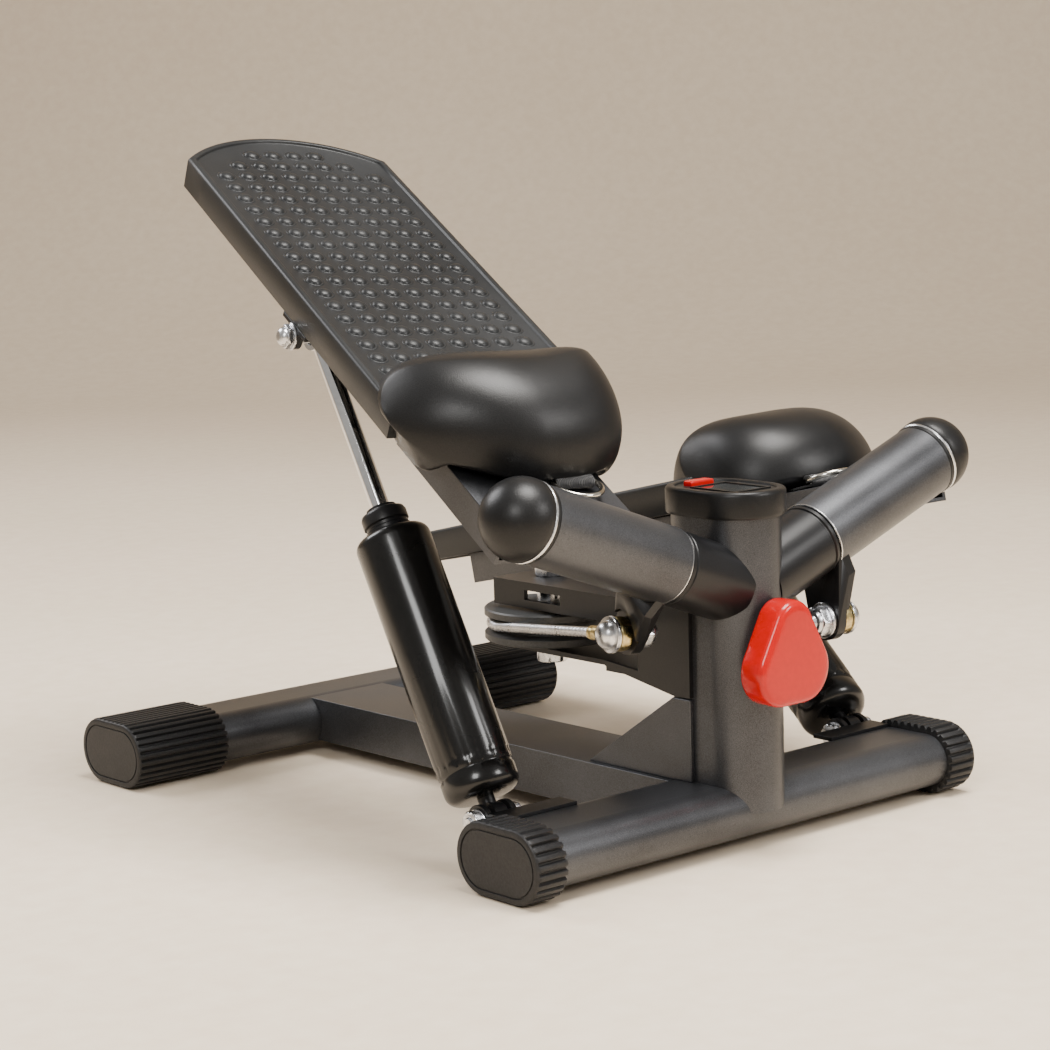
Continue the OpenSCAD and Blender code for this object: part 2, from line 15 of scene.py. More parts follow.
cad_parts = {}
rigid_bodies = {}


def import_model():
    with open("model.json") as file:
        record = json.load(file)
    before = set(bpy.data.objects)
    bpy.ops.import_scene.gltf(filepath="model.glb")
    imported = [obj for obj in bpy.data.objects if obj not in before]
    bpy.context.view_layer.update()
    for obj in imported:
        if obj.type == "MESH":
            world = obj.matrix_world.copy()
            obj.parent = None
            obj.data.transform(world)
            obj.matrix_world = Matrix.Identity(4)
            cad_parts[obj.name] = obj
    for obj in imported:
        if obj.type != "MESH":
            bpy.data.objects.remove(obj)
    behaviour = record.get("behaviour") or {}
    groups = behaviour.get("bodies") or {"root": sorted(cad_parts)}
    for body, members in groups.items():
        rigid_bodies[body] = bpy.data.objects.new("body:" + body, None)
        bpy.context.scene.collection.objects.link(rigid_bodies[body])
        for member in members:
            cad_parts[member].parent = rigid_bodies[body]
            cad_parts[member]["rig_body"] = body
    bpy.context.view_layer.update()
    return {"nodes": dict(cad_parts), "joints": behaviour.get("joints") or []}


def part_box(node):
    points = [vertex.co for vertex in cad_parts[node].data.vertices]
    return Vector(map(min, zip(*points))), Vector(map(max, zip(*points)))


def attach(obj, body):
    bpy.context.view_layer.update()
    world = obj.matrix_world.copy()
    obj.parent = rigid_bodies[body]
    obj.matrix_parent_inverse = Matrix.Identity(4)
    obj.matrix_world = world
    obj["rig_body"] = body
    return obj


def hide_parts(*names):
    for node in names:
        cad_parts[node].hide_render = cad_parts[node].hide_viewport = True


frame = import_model()
nodes = frame["nodes"]
joints = {joint["name"]: joint for joint in frame["joints"]}

# %% [markdown]
# ## Camera
# A camera is a place, a direction and a lens. The camera stands to the front left, low, and looks
# slightly down. Its turn about the vertical, its pitch and its roll make three unit vectors, and
# these are the columns of its matrix. A small lens shift frames the machine without tilting the
# verticals.

# %% Place the camera
CAMERA_AT = (-1.0815, -1.0642, 0.4124)
CAMERA_TURN, CAMERA_PITCH, CAMERA_ROLL = map(math.radians, (-39.498, 10.285, -1.937))
LENS_MM = 92.55
SHIFT = (0.0718, 0.0822)


def camera_matrix(turn, pitch, roll, at):
    """Columns: right, up and back, then the place. Back is minus the viewing direction, and roll
    mixes right and up."""
    ahead = np.array([-math.sin(turn) * math.cos(pitch), math.cos(turn) * math.cos(pitch),
                      -math.sin(pitch)])
    level = np.array([math.cos(turn), math.sin(turn), 0.0])
    upright = np.cross(level, ahead)
    right = math.cos(roll) * level + math.sin(roll) * upright
    up = -math.sin(roll) * level + math.cos(roll) * upright
    matrix = np.eye(4)
    matrix[:3, :4] = np.stack([right, up, -ahead, np.array(at)], axis=1)
    return matrix


camera_data = bpy.data.cameras.new("camera")
camera = bpy.data.objects.new("camera", camera_data)
bpy.context.scene.collection.objects.link(camera)
bpy.context.scene.camera = camera
camera_data.lens = LENS_MM
camera_data.sensor_width = 36.0
camera_data.shift_x, camera_data.shift_y = SHIFT
camera_data.clip_end = 50.0
camera.matrix_world = Matrix(camera_matrix(CAMERA_TURN, CAMERA_PITCH, CAMERA_ROLL, CAMERA_AT))
print("camera at", CAMERA_AT)

# %% [markdown]
# ## Reading places from the frame
# The joints carry exact places: the pivot axes, the dampers' feet and directions, the lug bolts.
# Each pedal has a frame of its own, with u across, v to the rear and w up from the tread. It is
# the level frame turned about the pivot axis by the pedal's lift. The right side is the left
# side's mirror image, so we draw everything on the left and mirror the points.

# %% Frames of the moving parts
MM = 0.001                      # one millimetre in metres
SIDES = ("left", "right")
LIFT = {"left": math.radians(33), "right": math.radians(-8.5)}
PEDAL_AT = np.array([-126.4, 128.4, 206.7])
PEDAL_TILT = math.radians(-4.7)
PIVOT_AT = np.array(joints["left_pedal"]["pos_m"]) / MM
PIVOT_AXIS = np.array(joints["left_pedal"]["axis"])


def unit(vector):
    """The vector divided by its length."""
    return np.asarray(vector, float) / np.linalg.norm(vector)


def turned(points, axis, angle):
    """Rodrigues' formula: part along the axis stays, the rest turns by the angle."""
    points = np.asarray(points, float)
    along = (points @ axis)[..., None] * axis
    return (points * math.cos(angle) + np.cross(axis, points) * math.sin(angle)
            + along * (1 - math.cos(angle)))


def mirrored(points, side):
    """Changes the sign of x for the right side."""
    return np.asarray(points, float) * ([1, 1, 1] if side == "left" else [-1, 1, 1])


def swung(points, side):
    """Turns level points about the pivot axis by minus the pedal's lift, then mirrors."""
    lifted = PIVOT_AT + turned(np.asarray(points) - PIVOT_AT, PIVOT_AXIS, -LIFT[side])
    return mirrored(lifted, side)


def on_pedal(points, side):
    """Takes (u, v, w) to the machine: tilt about u, move to the pedal, swing by its lift."""
    u, v, w = np.moveaxis(np.asarray(points, float), -1, 0)
    y = v * math.cos(PEDAL_TILT) - w * math.sin(PEDAL_TILT)
    z = v * math.sin(PEDAL_TILT) + w * math.cos(PEDAL_TILT)
    return swung(np.stack([u, y, z], -1) + PEDAL_AT, side)


def on_line(points, start, axis, aside=(0.0, 0.0, 1.0)):
    """Takes points whose z runs along an axis to that axis, with x as near to aside as it can be."""
    z = unit(axis)
    x = unit(np.asarray(aside) - z * np.dot(z, aside))
    y = np.cross(z, x)
    return np.asarray(start) + np.asarray(points) @ np.stack([x, y, z])


print("pivot", PIVOT_AT.round(1), "axis", PIVOT_AXIS.round(3))

# %% [markdown]
# ## From a grid of points to a mesh
# A parametric surface is a grid of points. Neighbouring points make a quad, and a grid can close on
# itself in one direction, or in both. The two open ends of a closed ring get a many-sided face
# each. A builder returns points and faces, several of them join into one piece, and one function
# at the end makes the mesh, merges doubled points and points its faces outward.

# %% Mesh helpers
def sheet_of(grid, around=True, along=False, caps=True):
    """grid has shape (rings, points, 3). Each quad joins two rings; caps close the end rings."""
    rings, count = grid.shape[:2]
    index = np.arange(rings * count).reshape(rings, count)
    if around:
        index = np.concatenate([index, index[:, :1]], 1)
    if along:
        index = np.concatenate([index, index[:1]], 0)
    quads = np.stack([index[:-1, :-1], index[:-1, 1:], index[1:, 1:], index[1:, :-1]], -1)
    faces = quads.reshape(-1, 4).tolist()
    if caps and around and not along:
        faces += [list(range(count))[::-1], list(range((rings - 1) * count, rings * count))]
    return grid.reshape(-1, 3), faces


def joined(parts):
    """Stacks several (points, faces) pairs, and moves each pair's face numbers past the last."""
    points, faces, start = [], [], 0
    for part_points, part_faces in parts:
        points.append(part_points)
        faces += [[corner + start for corner in face] for face in part_faces]
        start += len(part_points)
    return np.concatenate(points), faces


def moved(part, place):
    """Applies a function of points to a part."""
    return place(part[0]), part[1]


def circle(count, radius=1.0):
    """count points around a circle, from +x towards +y."""
    angle = np.linspace(0, 2 * math.pi, count, endpoint=False)
    return np.stack([radius * np.cos(angle), radius * np.sin(angle)], -1)


def lathe(profile, count=64):
    """profile lists (radius, height). Each height gets a ring of that radius about z."""
    profile = np.asarray(profile, float)
    ring = circle(count)
    grid = np.empty((len(profile), count, 3))
    grid[..., :2] = profile[:, None, :1] * ring
    grid[..., 2] = profile[:, 1:]
    return sheet_of(grid)


def fillet(centre, radius, start, stop, count=7):
    """Points of an arc, from one angle to another in degrees, as (radius, height) pairs."""
    angle = np.radians(np.linspace(start, stop, count))
    return (np.asarray(centre) + radius * np.stack([np.cos(angle), np.sin(angle)], -1)).tolist()


def hexagon_bar(across, low, high, count=60, chamfer=0.9):
    """A hexagon's radius is its apothem over the cosine of the angle from the nearest flat.
    Near both ends a cone of 30 degrees cuts it, so the smaller of the two radii holds."""
    angle = np.linspace(0, 2 * math.pi, count, endpoint=False)
    flat = across / 2 / np.cos((angle + math.pi / 6) % (math.pi / 3) - math.pi / 6)
    heights = np.array([low, low + 0.35 * chamfer, low + chamfer, high - chamfer,
                        high - 0.35 * chamfer, high])
    inward = np.array([1.0, 0.45, 0.0, 0.0, 0.45, 1.0]) * chamfer
    cone = across / 2 * 1.13 - inward * 1.2
    radius = np.minimum(flat[None], cone[:, None])
    grid = np.stack([radius * np.cos(angle), radius * np.sin(angle),
                     np.broadcast_to(heights[:, None], radius.shape)], -1)
    return sheet_of(grid)


def washer(radius, low, high):
    """A flat disc with a small round on both rims."""
    edge = 0.35
    return lathe([[0, low], [radius - edge, low], [radius, low + edge], [radius, high - edge],
                  [radius - edge, high], [0, high]], 48)


def thread(radius, low, high, pitch=1.5):
    """Rings that alternate between crest and root radius, half a pitch apart."""
    count = max(4, int((high - low) / pitch * 2))
    heights = np.linspace(low, high, count)
    radii = np.where(np.arange(count) % 2 == 0, radius - 0.45, radius)
    radii[-1] = radius - 0.9
    return lathe(np.stack([radii, heights], -1), 32)


def outline_stack(outline, rings):
    """outline(inset) gives the plan's points; rings lists (inset, height), from bottom to top."""
    levels = [np.column_stack([outline(inset), np.full(len(outline(inset)), height)])
              for inset, height in rings]
    return sheet_of(np.stack(levels))


def carried(path, radius, around=16, aside=(0, 0, 1)):
    """A tube: at each path point, a circle in the plane across the path's direction. radius may be
    one number or an array of (path points, circle points)."""
    path = np.asarray(path, float)
    ahead = np.gradient(path, axis=0)
    ahead /= np.linalg.norm(ahead, axis=1)[:, None]
    side = np.cross(ahead, aside)
    side /= np.linalg.norm(side, axis=1)[:, None]
    up = np.cross(side, ahead)
    ring = circle(around)
    radius = np.broadcast_to(np.asarray(radius, float), (len(path), around))[..., None]
    grid = path[:, None] + radius * (ring[:, :1] * side[:, None] + ring[:, 1:] * up[:, None])
    return sheet_of(grid)


def bars(low, high):
    """Boxes between the rows of two arrays of corners."""
    low, high = np.atleast_2d(low), np.atleast_2d(high)
    pick = np.array([[0, 0, 0], [1, 0, 0], [1, 1, 0], [0, 1, 0],
                     [0, 0, 1], [1, 0, 1], [1, 1, 1], [0, 1, 1]])
    points = low[:, None] + pick * (high - low)[:, None]
    sides = np.array([[0, 3, 2, 1], [4, 5, 6, 7], [0, 1, 5, 4], [1, 2, 6, 5], [2, 3, 7, 6],
                      [3, 0, 4, 7]])
    faces = (sides[None] + 8 * np.arange(len(low))[:, None, None]).reshape(-1, 4)
    return points.reshape(-1, 3), faces.tolist()


MERGE = 1e-6


def make(name, part, body, material, replaces=(), sharp=35, bevel=0.0):
    """Writes a part, drawn in millimetres, into a mesh in metres and lets it ride on a body."""
    points, faces = part
    mesh = bpy.data.meshes.new(name)
    mesh.from_pydata((points * MM).tolist(), [], faces)
    work = bmesh.new()
    work.from_mesh(mesh)
    bmesh.ops.remove_doubles(work, verts=work.verts, dist=MERGE)
    bmesh.ops.dissolve_degenerate(work, edges=work.edges, dist=MERGE)
    bmesh.ops.recalc_face_normals(work, faces=work.faces)
    work.to_mesh(mesh)
    work.free()
    mesh.shade_smooth()
    mesh.set_sharp_from_angle(angle=math.radians(sharp))
    mesh.materials.append(material)
    piece = bpy.data.objects.new(name, mesh)
    bpy.context.scene.collection.objects.link(piece)
    if bevel:
        rounding(piece, bevel)
    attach(piece, body)
    if replaces:
        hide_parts(*replaces)
    return piece


def rounding(piece, width, angle=35, segments=3):
    """A live bevel on every edge sharper than the angle."""
    bevel = piece.modifiers.new("rounding", "BEVEL")
    bevel.width = width * MM
    bevel.segments = segments
    bevel.limit_method = "ANGLE"
    bevel.angle_limit = math.radians(angle)
    bevel.harden_normals = True


print("helpers ready")

# %% [markdown]
# ## Finishes
# Each finish is a small tree of nodes on one Principled shader. Noise on object coordinates sets
# the colour and roughness, and a second, finer noise goes through a Bump node. Numbers that are
# the same everywhere, such as coat and sheen, are set on the shader's own sockets.

# %% A finish builder
def ramp_node(tree, low, high, low_at=0.35, high_at=0.65):
    """A colour ramp between two grey levels or colours."""
    ramp = tree.nodes.new("ShaderNodeValToRGB")
    for stop, colour, place in zip(ramp.color_ramp.elements, (low, high), (low_at, high_at)):
        stop.color = (*colour, 1.0) if np.ndim(colour) else (colour, colour, colour, 1.0)
        stop.position = place
    return ramp


def finish(name, dark, light, rough, metal=0.0, grain=900.0, bump=0.15, depth=0.0002,
           patch=14.0, coat=0.0, coat_rough=0.1, specular=0.5, sheen=0.0):
    """Colour: a fine noise mixed with broad patches, from dark to light. Roughness: the broad
    patches between two values. Bump: the fine noise."""
    material = bpy.data.materials.new(name)
    material.use_nodes = True
    tree = material.node_tree
    shader = tree.nodes["Principled BSDF"]
    place = tree.nodes.new("ShaderNodeTexCoord")
    fine = tree.nodes.new("ShaderNodeTexNoise")
    broad = tree.nodes.new("ShaderNodeTexNoise")
    fine.inputs["Scale"].default_value = grain
    fine.inputs["Detail"].default_value = 4.0
    broad.inputs["Scale"].default_value = patch
    broad.inputs["Detail"].default_value = 5.0
    blend = tree.nodes.new("ShaderNodeMix")
    blend.inputs["Factor"].default_value = 0.35
    colour = ramp_node(tree, dark, light)
    roughness = ramp_node(tree, rough[0], rough[1], 0.3, 0.7)
    raised = tree.nodes.new("ShaderNodeBump")
    raised.inputs["Strength"].default_value = bump
    raised.inputs["Distance"].default_value = depth
    link = tree.links.new
    for noise in (fine, broad):
        link(place.outputs["Object"], noise.inputs["Vector"])
    link(fine.outputs["Fac"], blend.inputs["A"])
    link(broad.outputs["Fac"], blend.inputs["B"])
    link(blend.outputs["Result"], colour.inputs["Fac"])
    link(broad.outputs["Fac"], roughness.inputs["Fac"])
    link(colour.outputs["Color"], shader.inputs["Base Color"])
    link(roughness.outputs["Color"], shader.inputs["Roughness"])
    link(fine.outputs["Fac"], raised.inputs["Height"])
    link(raised.outputs["Normal"], shader.inputs["Normal"])
    shader.inputs["Metallic"].default_value = metal
    shader.inputs["Coat Weight"].default_value = coat
    shader.inputs["Coat Roughness"].default_value = coat_rough
    shader.inputs["Specular IOR Level"].default_value = specular
    shader.inputs["Sheen Weight"].default_value = sheen
    return material


# %% [markdown]
# The frame has a dark grey powder coat with metal flake: partly metallic, with a fine sparkle. The
# mouldings are a satin black with a spark-eroded grain. The dampers are enamelled, so they get a
# clear coat. Zinc, chrome and nickel differ in tint and in how sharply they mirror.

# %% Mix the finishes
paint = finish("frame_paint", (0.028, 0.028, 0.031), (0.105, 0.109, 0.118), (0.33, 0.43),
               metal=0.75, grain=2600, bump=0.22, depth=0.00012, coat=0.08, coat_rough=0.4)
black_paint = finish("black_paint", (0.004, 0.004, 0.0045), (0.011, 0.011, 0.012), (0.28, 0.38),
                     grain=1800, bump=0.12, coat=0.05, coat_rough=0.25, specular=0.28)
enamel = finish("damper_enamel", (0.002, 0.002, 0.002), (0.005, 0.005, 0.005), (0.22, 0.30),
                grain=420, bump=0.05, depth=0.0001, coat=0.35, coat_rough=0.12, specular=0.25)
moulding = finish("moulded_black", (0.004, 0.004, 0.0042), (0.010, 0.010, 0.0105), (0.33, 0.42),
                  grain=1500, bump=0.30, depth=0.00025, specular=0.28)
tread_skin = finish("tread_black", (0.008, 0.0085, 0.009), (0.018, 0.019, 0.020), (0.33, 0.44),
                    grain=1300, bump=0.25, depth=0.0002, specular=0.3)
cap_rubber = finish("cap_black", (0.006, 0.006, 0.0065), (0.016, 0.016, 0.017), (0.38, 0.52),
                    grain=700, bump=0.30, depth=0.0003, specular=0.3)
pulley_skin = finish("pulley_black", (0.022, 0.023, 0.023), (0.050, 0.051, 0.052), (0.40, 0.55),
                     grain=900, bump=0.25)
nylon = finish("bush_nylon", (0.62, 0.60, 0.52), (0.74, 0.72, 0.64), (0.35, 0.5), grain=600)
red = finish("red_gloss", (0.44, 0.0, 0.0004), (0.50, 0.0, 0.0006), (0.24, 0.30), grain=300,
             bump=0.04, depth=0.0001, coat=0.3, coat_rough=0.08, specular=0.25)
window = finish("display_window", (0.020, 0.024, 0.024), (0.030, 0.034, 0.034), (0.08, 0.12),
                grain=100, bump=0.0, coat=1.0, coat_rough=0.03)
zinc = finish("zinc_plate", (0.50, 0.51, 0.53), (0.80, 0.81, 0.83), (0.18, 0.34), metal=1.0,
              grain=500, bump=0.10, patch=60)
yellow_zinc = finish("yellow_zinc", (0.42, 0.30, 0.11), (0.72, 0.60, 0.30), (0.22, 0.36),
                     metal=1.0, grain=500, bump=0.10, patch=60)
chrome = finish("rod_chrome", (0.78, 0.79, 0.81), (0.88, 0.89, 0.90), (0.05, 0.10), metal=1.0,
                grain=300, bump=0.02, patch=40)
nickel = finish("ring_nickel", (0.62, 0.58, 0.50), (0.82, 0.79, 0.72), (0.10, 0.20), metal=1.0,
                grain=400, bump=0.05, patch=80)
worn_edge = finish("worn_steel", (0.60, 0.61, 0.62), (0.85, 0.86, 0.87), (0.18, 0.30), metal=1.0,
                   grain=900, bump=0.1, patch=120)
wire = finish("wire_rope", (0.42, 0.43, 0.45), (0.80, 0.81, 0.83), (0.25, 0.40), metal=1.0,
              grain=1600, bump=0.4, depth=0.0003, patch=90)
print("finishes", len(bpy.data.materials))


# %% [markdown]
# Webbing is woven: its ribs run across the strap. Two wave patterns at right angles, read from
# object coordinates, make the ribs and the warp between them.

# %% The webbing finish
def webbing_finish():
    """Height from the product of two sets of sine bands; the colour is the finish's own noise."""
    material = finish("webbing", (0.008, 0.008, 0.009), (0.030, 0.030, 0.032), (0.7, 0.9),
                      grain=2500, bump=0.2, sheen=0.3)
    tree = material.node_tree
    shader = tree.nodes["Principled BSDF"]
    place = tree.nodes["Texture Coordinate"]
    bands = []
    for direction, scale in (("X", 300.0), ("Y", 210.0)):
        wave = tree.nodes.new("ShaderNodeTexWave")
        wave.bands_direction = direction
        wave.inputs["Scale"].default_value = scale
        tree.links.new(place.outputs["Object"], wave.inputs["Vector"])
        bands.append(wave)
    product = tree.nodes.new("ShaderNodeMath")
    product.operation = "MULTIPLY"
    raised = tree.nodes.new("ShaderNodeBump")
    raised.inputs["Distance"].default_value = 0.0006
    raised.inputs["Strength"].default_value = 0.8
    for socket, wave in enumerate(bands):
        tree.links.new(wave.outputs["Fac"], product.inputs[socket])
    tree.links.new(product.outputs["Value"], raised.inputs["Height"])
    tree.links.new(tree.nodes["Bump"].outputs["Normal"], raised.inputs["Normal"])
    tree.links.new(raised.outputs["Normal"], shader.inputs["Normal"])
    return material


webbing = webbing_finish()

# %% [markdown]
# ## Softened CAD nodes
# The welded frame's shapes are right in CAD, but its edges are perfectly sharp, and real pressed
# steel is not. We copy such a node, merge its loose triangles, melt the flat ones together and
# put a live bevel on what is still sharp. The copy stands for the node.

# %% Round the steel parts' edges
def softened(node, width, material):
    """A copy of a CAD node with merged points, flat faces melted and its edges rounded."""
    mesh = nodes[node].data.copy()
    work = bmesh.new()
    work.from_mesh(mesh)
    bmesh.ops.remove_doubles(work, verts=work.verts, dist=2e-6)
    bmesh.ops.recalc_face_normals(work, faces=work.faces)
    bmesh.ops.dissolve_limit(work, angle_limit=math.radians(0.6), verts=work.verts,
                             edges=work.edges)
    work.to_mesh(mesh)
    work.free()
    mesh.shade_smooth()
    mesh.set_sharp_from_angle(angle=math.radians(35))
    mesh.materials.clear()
    mesh.materials.append(material)
    piece = bpy.data.objects.new(node + "_skin", mesh)
    bpy.context.scene.collection.objects.link(piece)
    rounding(piece, width)
    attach(piece, nodes[node]["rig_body"])
    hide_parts(node)
    return piece


softened("spine_tube", 2.6, paint)
softened("post_gussets", 0.7, paint)
softened("pulley_bracket", 0.6, black_paint)
softened("damper_brackets", 0.5, black_paint)
for side in SIDES:
    softened("arm_" + side, 1.6, paint)
    softened("lug_" + side, 0.6, black_paint)
    softened("damper_ear_" + side, 0.5, black_paint)
    softened("damper_eye_" + side, 0.5, black_paint)
    softened("rod_eye_" + side, 0.5, zinc)
print("softened copies made")

# %% Finishes for the CAD nodes that show as they are
CAD_FINISH = {"front_tube": paint, "rear_tube": paint, "post": paint, "pivot_shafts": zinc,
              "shaft_nuts": zinc, "pulley_bush": zinc, "pulley_wheel": pulley_skin,
              "knob_screw": zinc}
PAIRED_FINISH = {"sleeve": paint, "bushes": nylon, "damper_rod": chrome, "damper_piston": zinc}
for base, material in PAIRED_FINISH.items():
    for side in SIDES:
        CAD_FINISH[f"{base}_{side}"] = material
for node, material in CAD_FINISH.items():
    mesh = nodes[node].data
    mesh.materials.clear()
    mesh.materials.append(material)
print("CAD nodes finished", len(CAD_FINISH))

# %% [markdown]
# ## Moulded end caps
# A cap is a flat-oval sleeve with ribs that run along the tube. Its outline is two half circles
# and two flats. Walking round it, a smooth pulse wave of the distance walked moves the outline
# in and out along its normal, which makes the ribs. The closed end has a thin sunk line.

# %% Build the end caps
CAP_W, CAP_H = 68.0, 42.0
RIB_COUNT = {"front": 34, "rear": 38}
RIB_DEPTH = 2.1


def flat_oval(width, height, count, ribs=0, depth=0.0):
    """Points at equal steps along the outline. Each is a centre-line point plus its normal times
    the half height, less the rib wave: a cosine of the walked distance pushed to a square."""
    radius, flat = height / 2, width - height
    length = 2 * flat + 2 * math.pi * radius
    walked = np.linspace(0, length, count, endpoint=False)
    ends = np.cumsum([flat / 2, math.pi * radius, flat, math.pi * radius])
    part = np.searchsorted(ends, walked, side="right")
    turn = np.select([part == 0, part == 1, part == 2, part == 3],
                     [np.zeros(count), (walked - ends[0]) / radius, np.full(count, math.pi),
                      math.pi + (walked - ends[2]) / radius], 2 * math.pi) + math.pi / 2
    centre = np.select([part == 0, part == 1, part == 2, part == 3],
                       [-walked, np.full(count, -flat / 2), -flat / 2 + walked - ends[1],
                        np.full(count, flat / 2)], length - walked)
    wave = np.tanh(3.0 * np.cos(2 * math.pi * ribs * walked / length) + 1.2)
    reach = radius - depth * (1 - wave) / 2
    return np.stack([centre + reach * np.cos(turn), reach * np.sin(turn)], -1)


def end_cap(length, ribs):
    """Rings along the cap: ribs fade in behind the smooth end rim. Height z runs outward."""
    count = ribs * 12

    def ring(inset, height, depth):
        points = flat_oval(CAP_W - 2 * inset, CAP_H - 2 * inset, count, ribs, depth)
        return np.column_stack([points, np.full(count, height)])

    rings = [ring(2.4, 0.0, RIB_DEPTH * 0.4), ring(0.4, 0.2, RIB_DEPTH),
             ring(0.0, 1.0, RIB_DEPTH), ring(0.0, length - 3.2, RIB_DEPTH),
             ring(0.0, length - 2.2, RIB_DEPTH * 0.7), ring(0.3, length - 1.2, 0.2),
             ring(0.9, length - 0.4, 0.0), ring(2.0, length, 0.0), ring(3.9, length, 0.0),
             ring(4.2, length - 0.8, 0.0), ring(4.8, length - 0.8, 0.0), ring(5.1, length - 0.1, 0.0),
             ring(9.0, length, 0.0)]
    return sheet_of(np.stack(rings))


def build_end_caps():
    """Two caps a tube. The plan's x is the machine's y, and the cap's z points outward along x."""
    for tube in ("front", "rear"):
        low, high = (np.array(corner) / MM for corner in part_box(tube + "_end_caps"))
        middle_y, middle_z = (low[1] + high[1]) / 2, (low[2] + high[2]) / 2
        node = nodes[tube + "_end_caps"]
        xs = np.array([corner.co.x for corner in node.data.vertices]) / MM
        length = high[0] - xs[xs > 0].min()
        caps = []
        for sign in (-1, 1):
            points, faces = end_cap(length, RIB_COUNT[tube])
            world = np.stack([sign * (high[0] - length + points[:, 2]), middle_y + points[:, 0],
                              middle_z + points[:, 1]], -1)
            caps.append((world, faces))
        make(tube + "_caps", joined(caps), "frame", cap_rubber,
             [tube + "_end_caps"], sharp=28)
        print(tube, "cap length", round(length, 1))


build_end_caps()

# %% [markdown]
# ## Treads
# A tread is one moulding: a skirt, a raised rim and a sunk plate with bumps. The plan has straight
# sides and an arched rear edge, and insetting it means moving each part of the outline inward.
# Stacking inset outlines at different heights gives the skirt, the rim and the plate. The bumps
# are many, so one bump is worked out and copied to every place by adding arrays.

# %% Build the treads
TREAD_W, TREAD_FRONT, TREAD_T = 138.0, -42.0, 20.0
ARC_AT, ARC_R = 203.0, 92.0
PLATE = -1.8
SKIRT_T, WEB_T, WEB_TOP = 2.9, 2.2, -4.5
BUMP_PITCH = (14.7, 15.1)


def tread_outline(inset):
    """Left side, arc, right side and front, each with its own equal steps."""
    half, radius = TREAD_W / 2 - inset, ARC_R - inset
    corner = ARC_AT + math.sqrt(radius ** 2 - half ** 2)
    reach = math.asin(half / radius)
    angle = np.linspace(-reach, reach, 41)
    arc = np.stack([radius * np.sin(angle), ARC_AT + radius * np.cos(angle)], -1)
    run = np.linspace(0, 1, 12)[1:-1, None]
    left = np.array([-half, TREAD_FRONT + inset]) * (1 - run) + np.array([-half, corner]) * run
    right = left[::-1] * [-1, 1]
    return np.concatenate([[[-half, TREAD_FRONT + inset]], left, arc, right,
                           [[half, TREAD_FRONT + inset]]])


def bump_places():
    """Eight columns and seventeen full rows; the arched end holds a row of six and one of four."""
    columns, rows = np.meshgrid(np.arange(8), np.arange(19))
    keep = (rows < 17) | ((rows == 17) & (columns > 0) & (columns < 7)) | (
        (rows == 18) & (columns > 1) & (columns < 6))
    return np.stack([(columns[keep] - 3.5) * BUMP_PITCH[0], rows[keep] * BUMP_PITCH[1]], -1)


def bumps():
    """One dome inside a low ring, from a lathe profile; every place adds its own offset."""
    profile = [[6.5, -0.5], [6.3, 0.15], [5.8, 0.38], [5.2, 0.15], [4.8, 0.1], [4.3, 0.9],
               [3.3, 1.6], [1.9, 2.05], [0, 2.2]]
    points, faces = lathe(profile, 18)
    places = bump_places()
    every = points[None] + np.column_stack([places, np.full(len(places), PLATE)])[:, None]
    numbers = np.arange(len(places))[:, None] * len(points)
    quads = np.array([face for face in faces if len(face) == 4])
    ring = np.array(faces[-2])
    found = (quads[None] + numbers[..., None]).reshape(-1, 4).tolist()
    found += (ring[None] + numbers).tolist()
    return every.reshape(-1, 3), found


def tread_part():
    """The shell from its inner skirt round to the plate, the ribs beneath and the bumps."""
    rings = [(3.0, -5.0), (2.8, -TREAD_T + 0.4), (2.4, -TREAD_T), (1.0, -TREAD_T),
             (0.5, -TREAD_T + 0.5), (0.0, -2.6), (0.25, -1.2), (0.9, -0.35), (1.9, 0.0), (4.0, 0.0),
             (4.5, -0.25), (4.8, -0.9), (5.0, PLATE + 0.25), (5.5, PLATE)]
    shell = outline_stack(tread_outline, rings)
    across = np.arange(-20, 261, 40.0)
    lengthwise = np.array([-36.0, 0.0, 36.0])
    half, base = TREAD_W / 2 - SKIRT_T, 1 - TREAD_T

    def webs(*corners):
        return np.stack(np.broadcast_arrays(*corners), -1)

    cross = bars(webs(-half, across, base), webs(half, across + WEB_T, WEB_TOP))
    long = bars(webs(lengthwise - WEB_T / 2, TREAD_FRONT + SKIRT_T, base),
                webs(lengthwise + WEB_T / 2, 281.0, WEB_TOP))
    return joined([shell, cross, long, bumps()])


for side in SIDES:
    points, faces = tread_part()
    make(side + "_tread", (on_pedal(points, side), faces), side + "_pedal", tread_skin,
         ["tread_" + side], sharp=50)
print("bumps on a tread", len(bump_places()))

# %% [markdown]
# ## Toe guards
# The guard is a moulded bumper that hugs the tread's front end. A crest runs from end to end near
# its rear; in front of the crest the surface swells like a boot's toe, and behind it a straighter
# slope runs down to the tread. The inner end is tall and blunt, the outer end low and pointed, and
# both hang past the arm. Each of those facts is one curve across the guard, and a section joins
# the curves: four quarter superellipses from the front to the crest, the rear foot and the base.

# %% Build the toe guards
GUARD_HALF, GUARD_MIDDLE = 70.5, -3.0
GUARD_STATIONS, QUARTER_STEPS = 90, 22


def signed_power(value, power):
    """Keeps the sign and raises the size to a power."""
    return np.sign(value) * np.abs(value) ** power


def smooth_step(value, low, high):
    """Zero below low, one above high, with a cubic between them."""
    part = np.clip((value - low) / (high - low), 0, 1)
    return part * part * (3 - 2 * part)


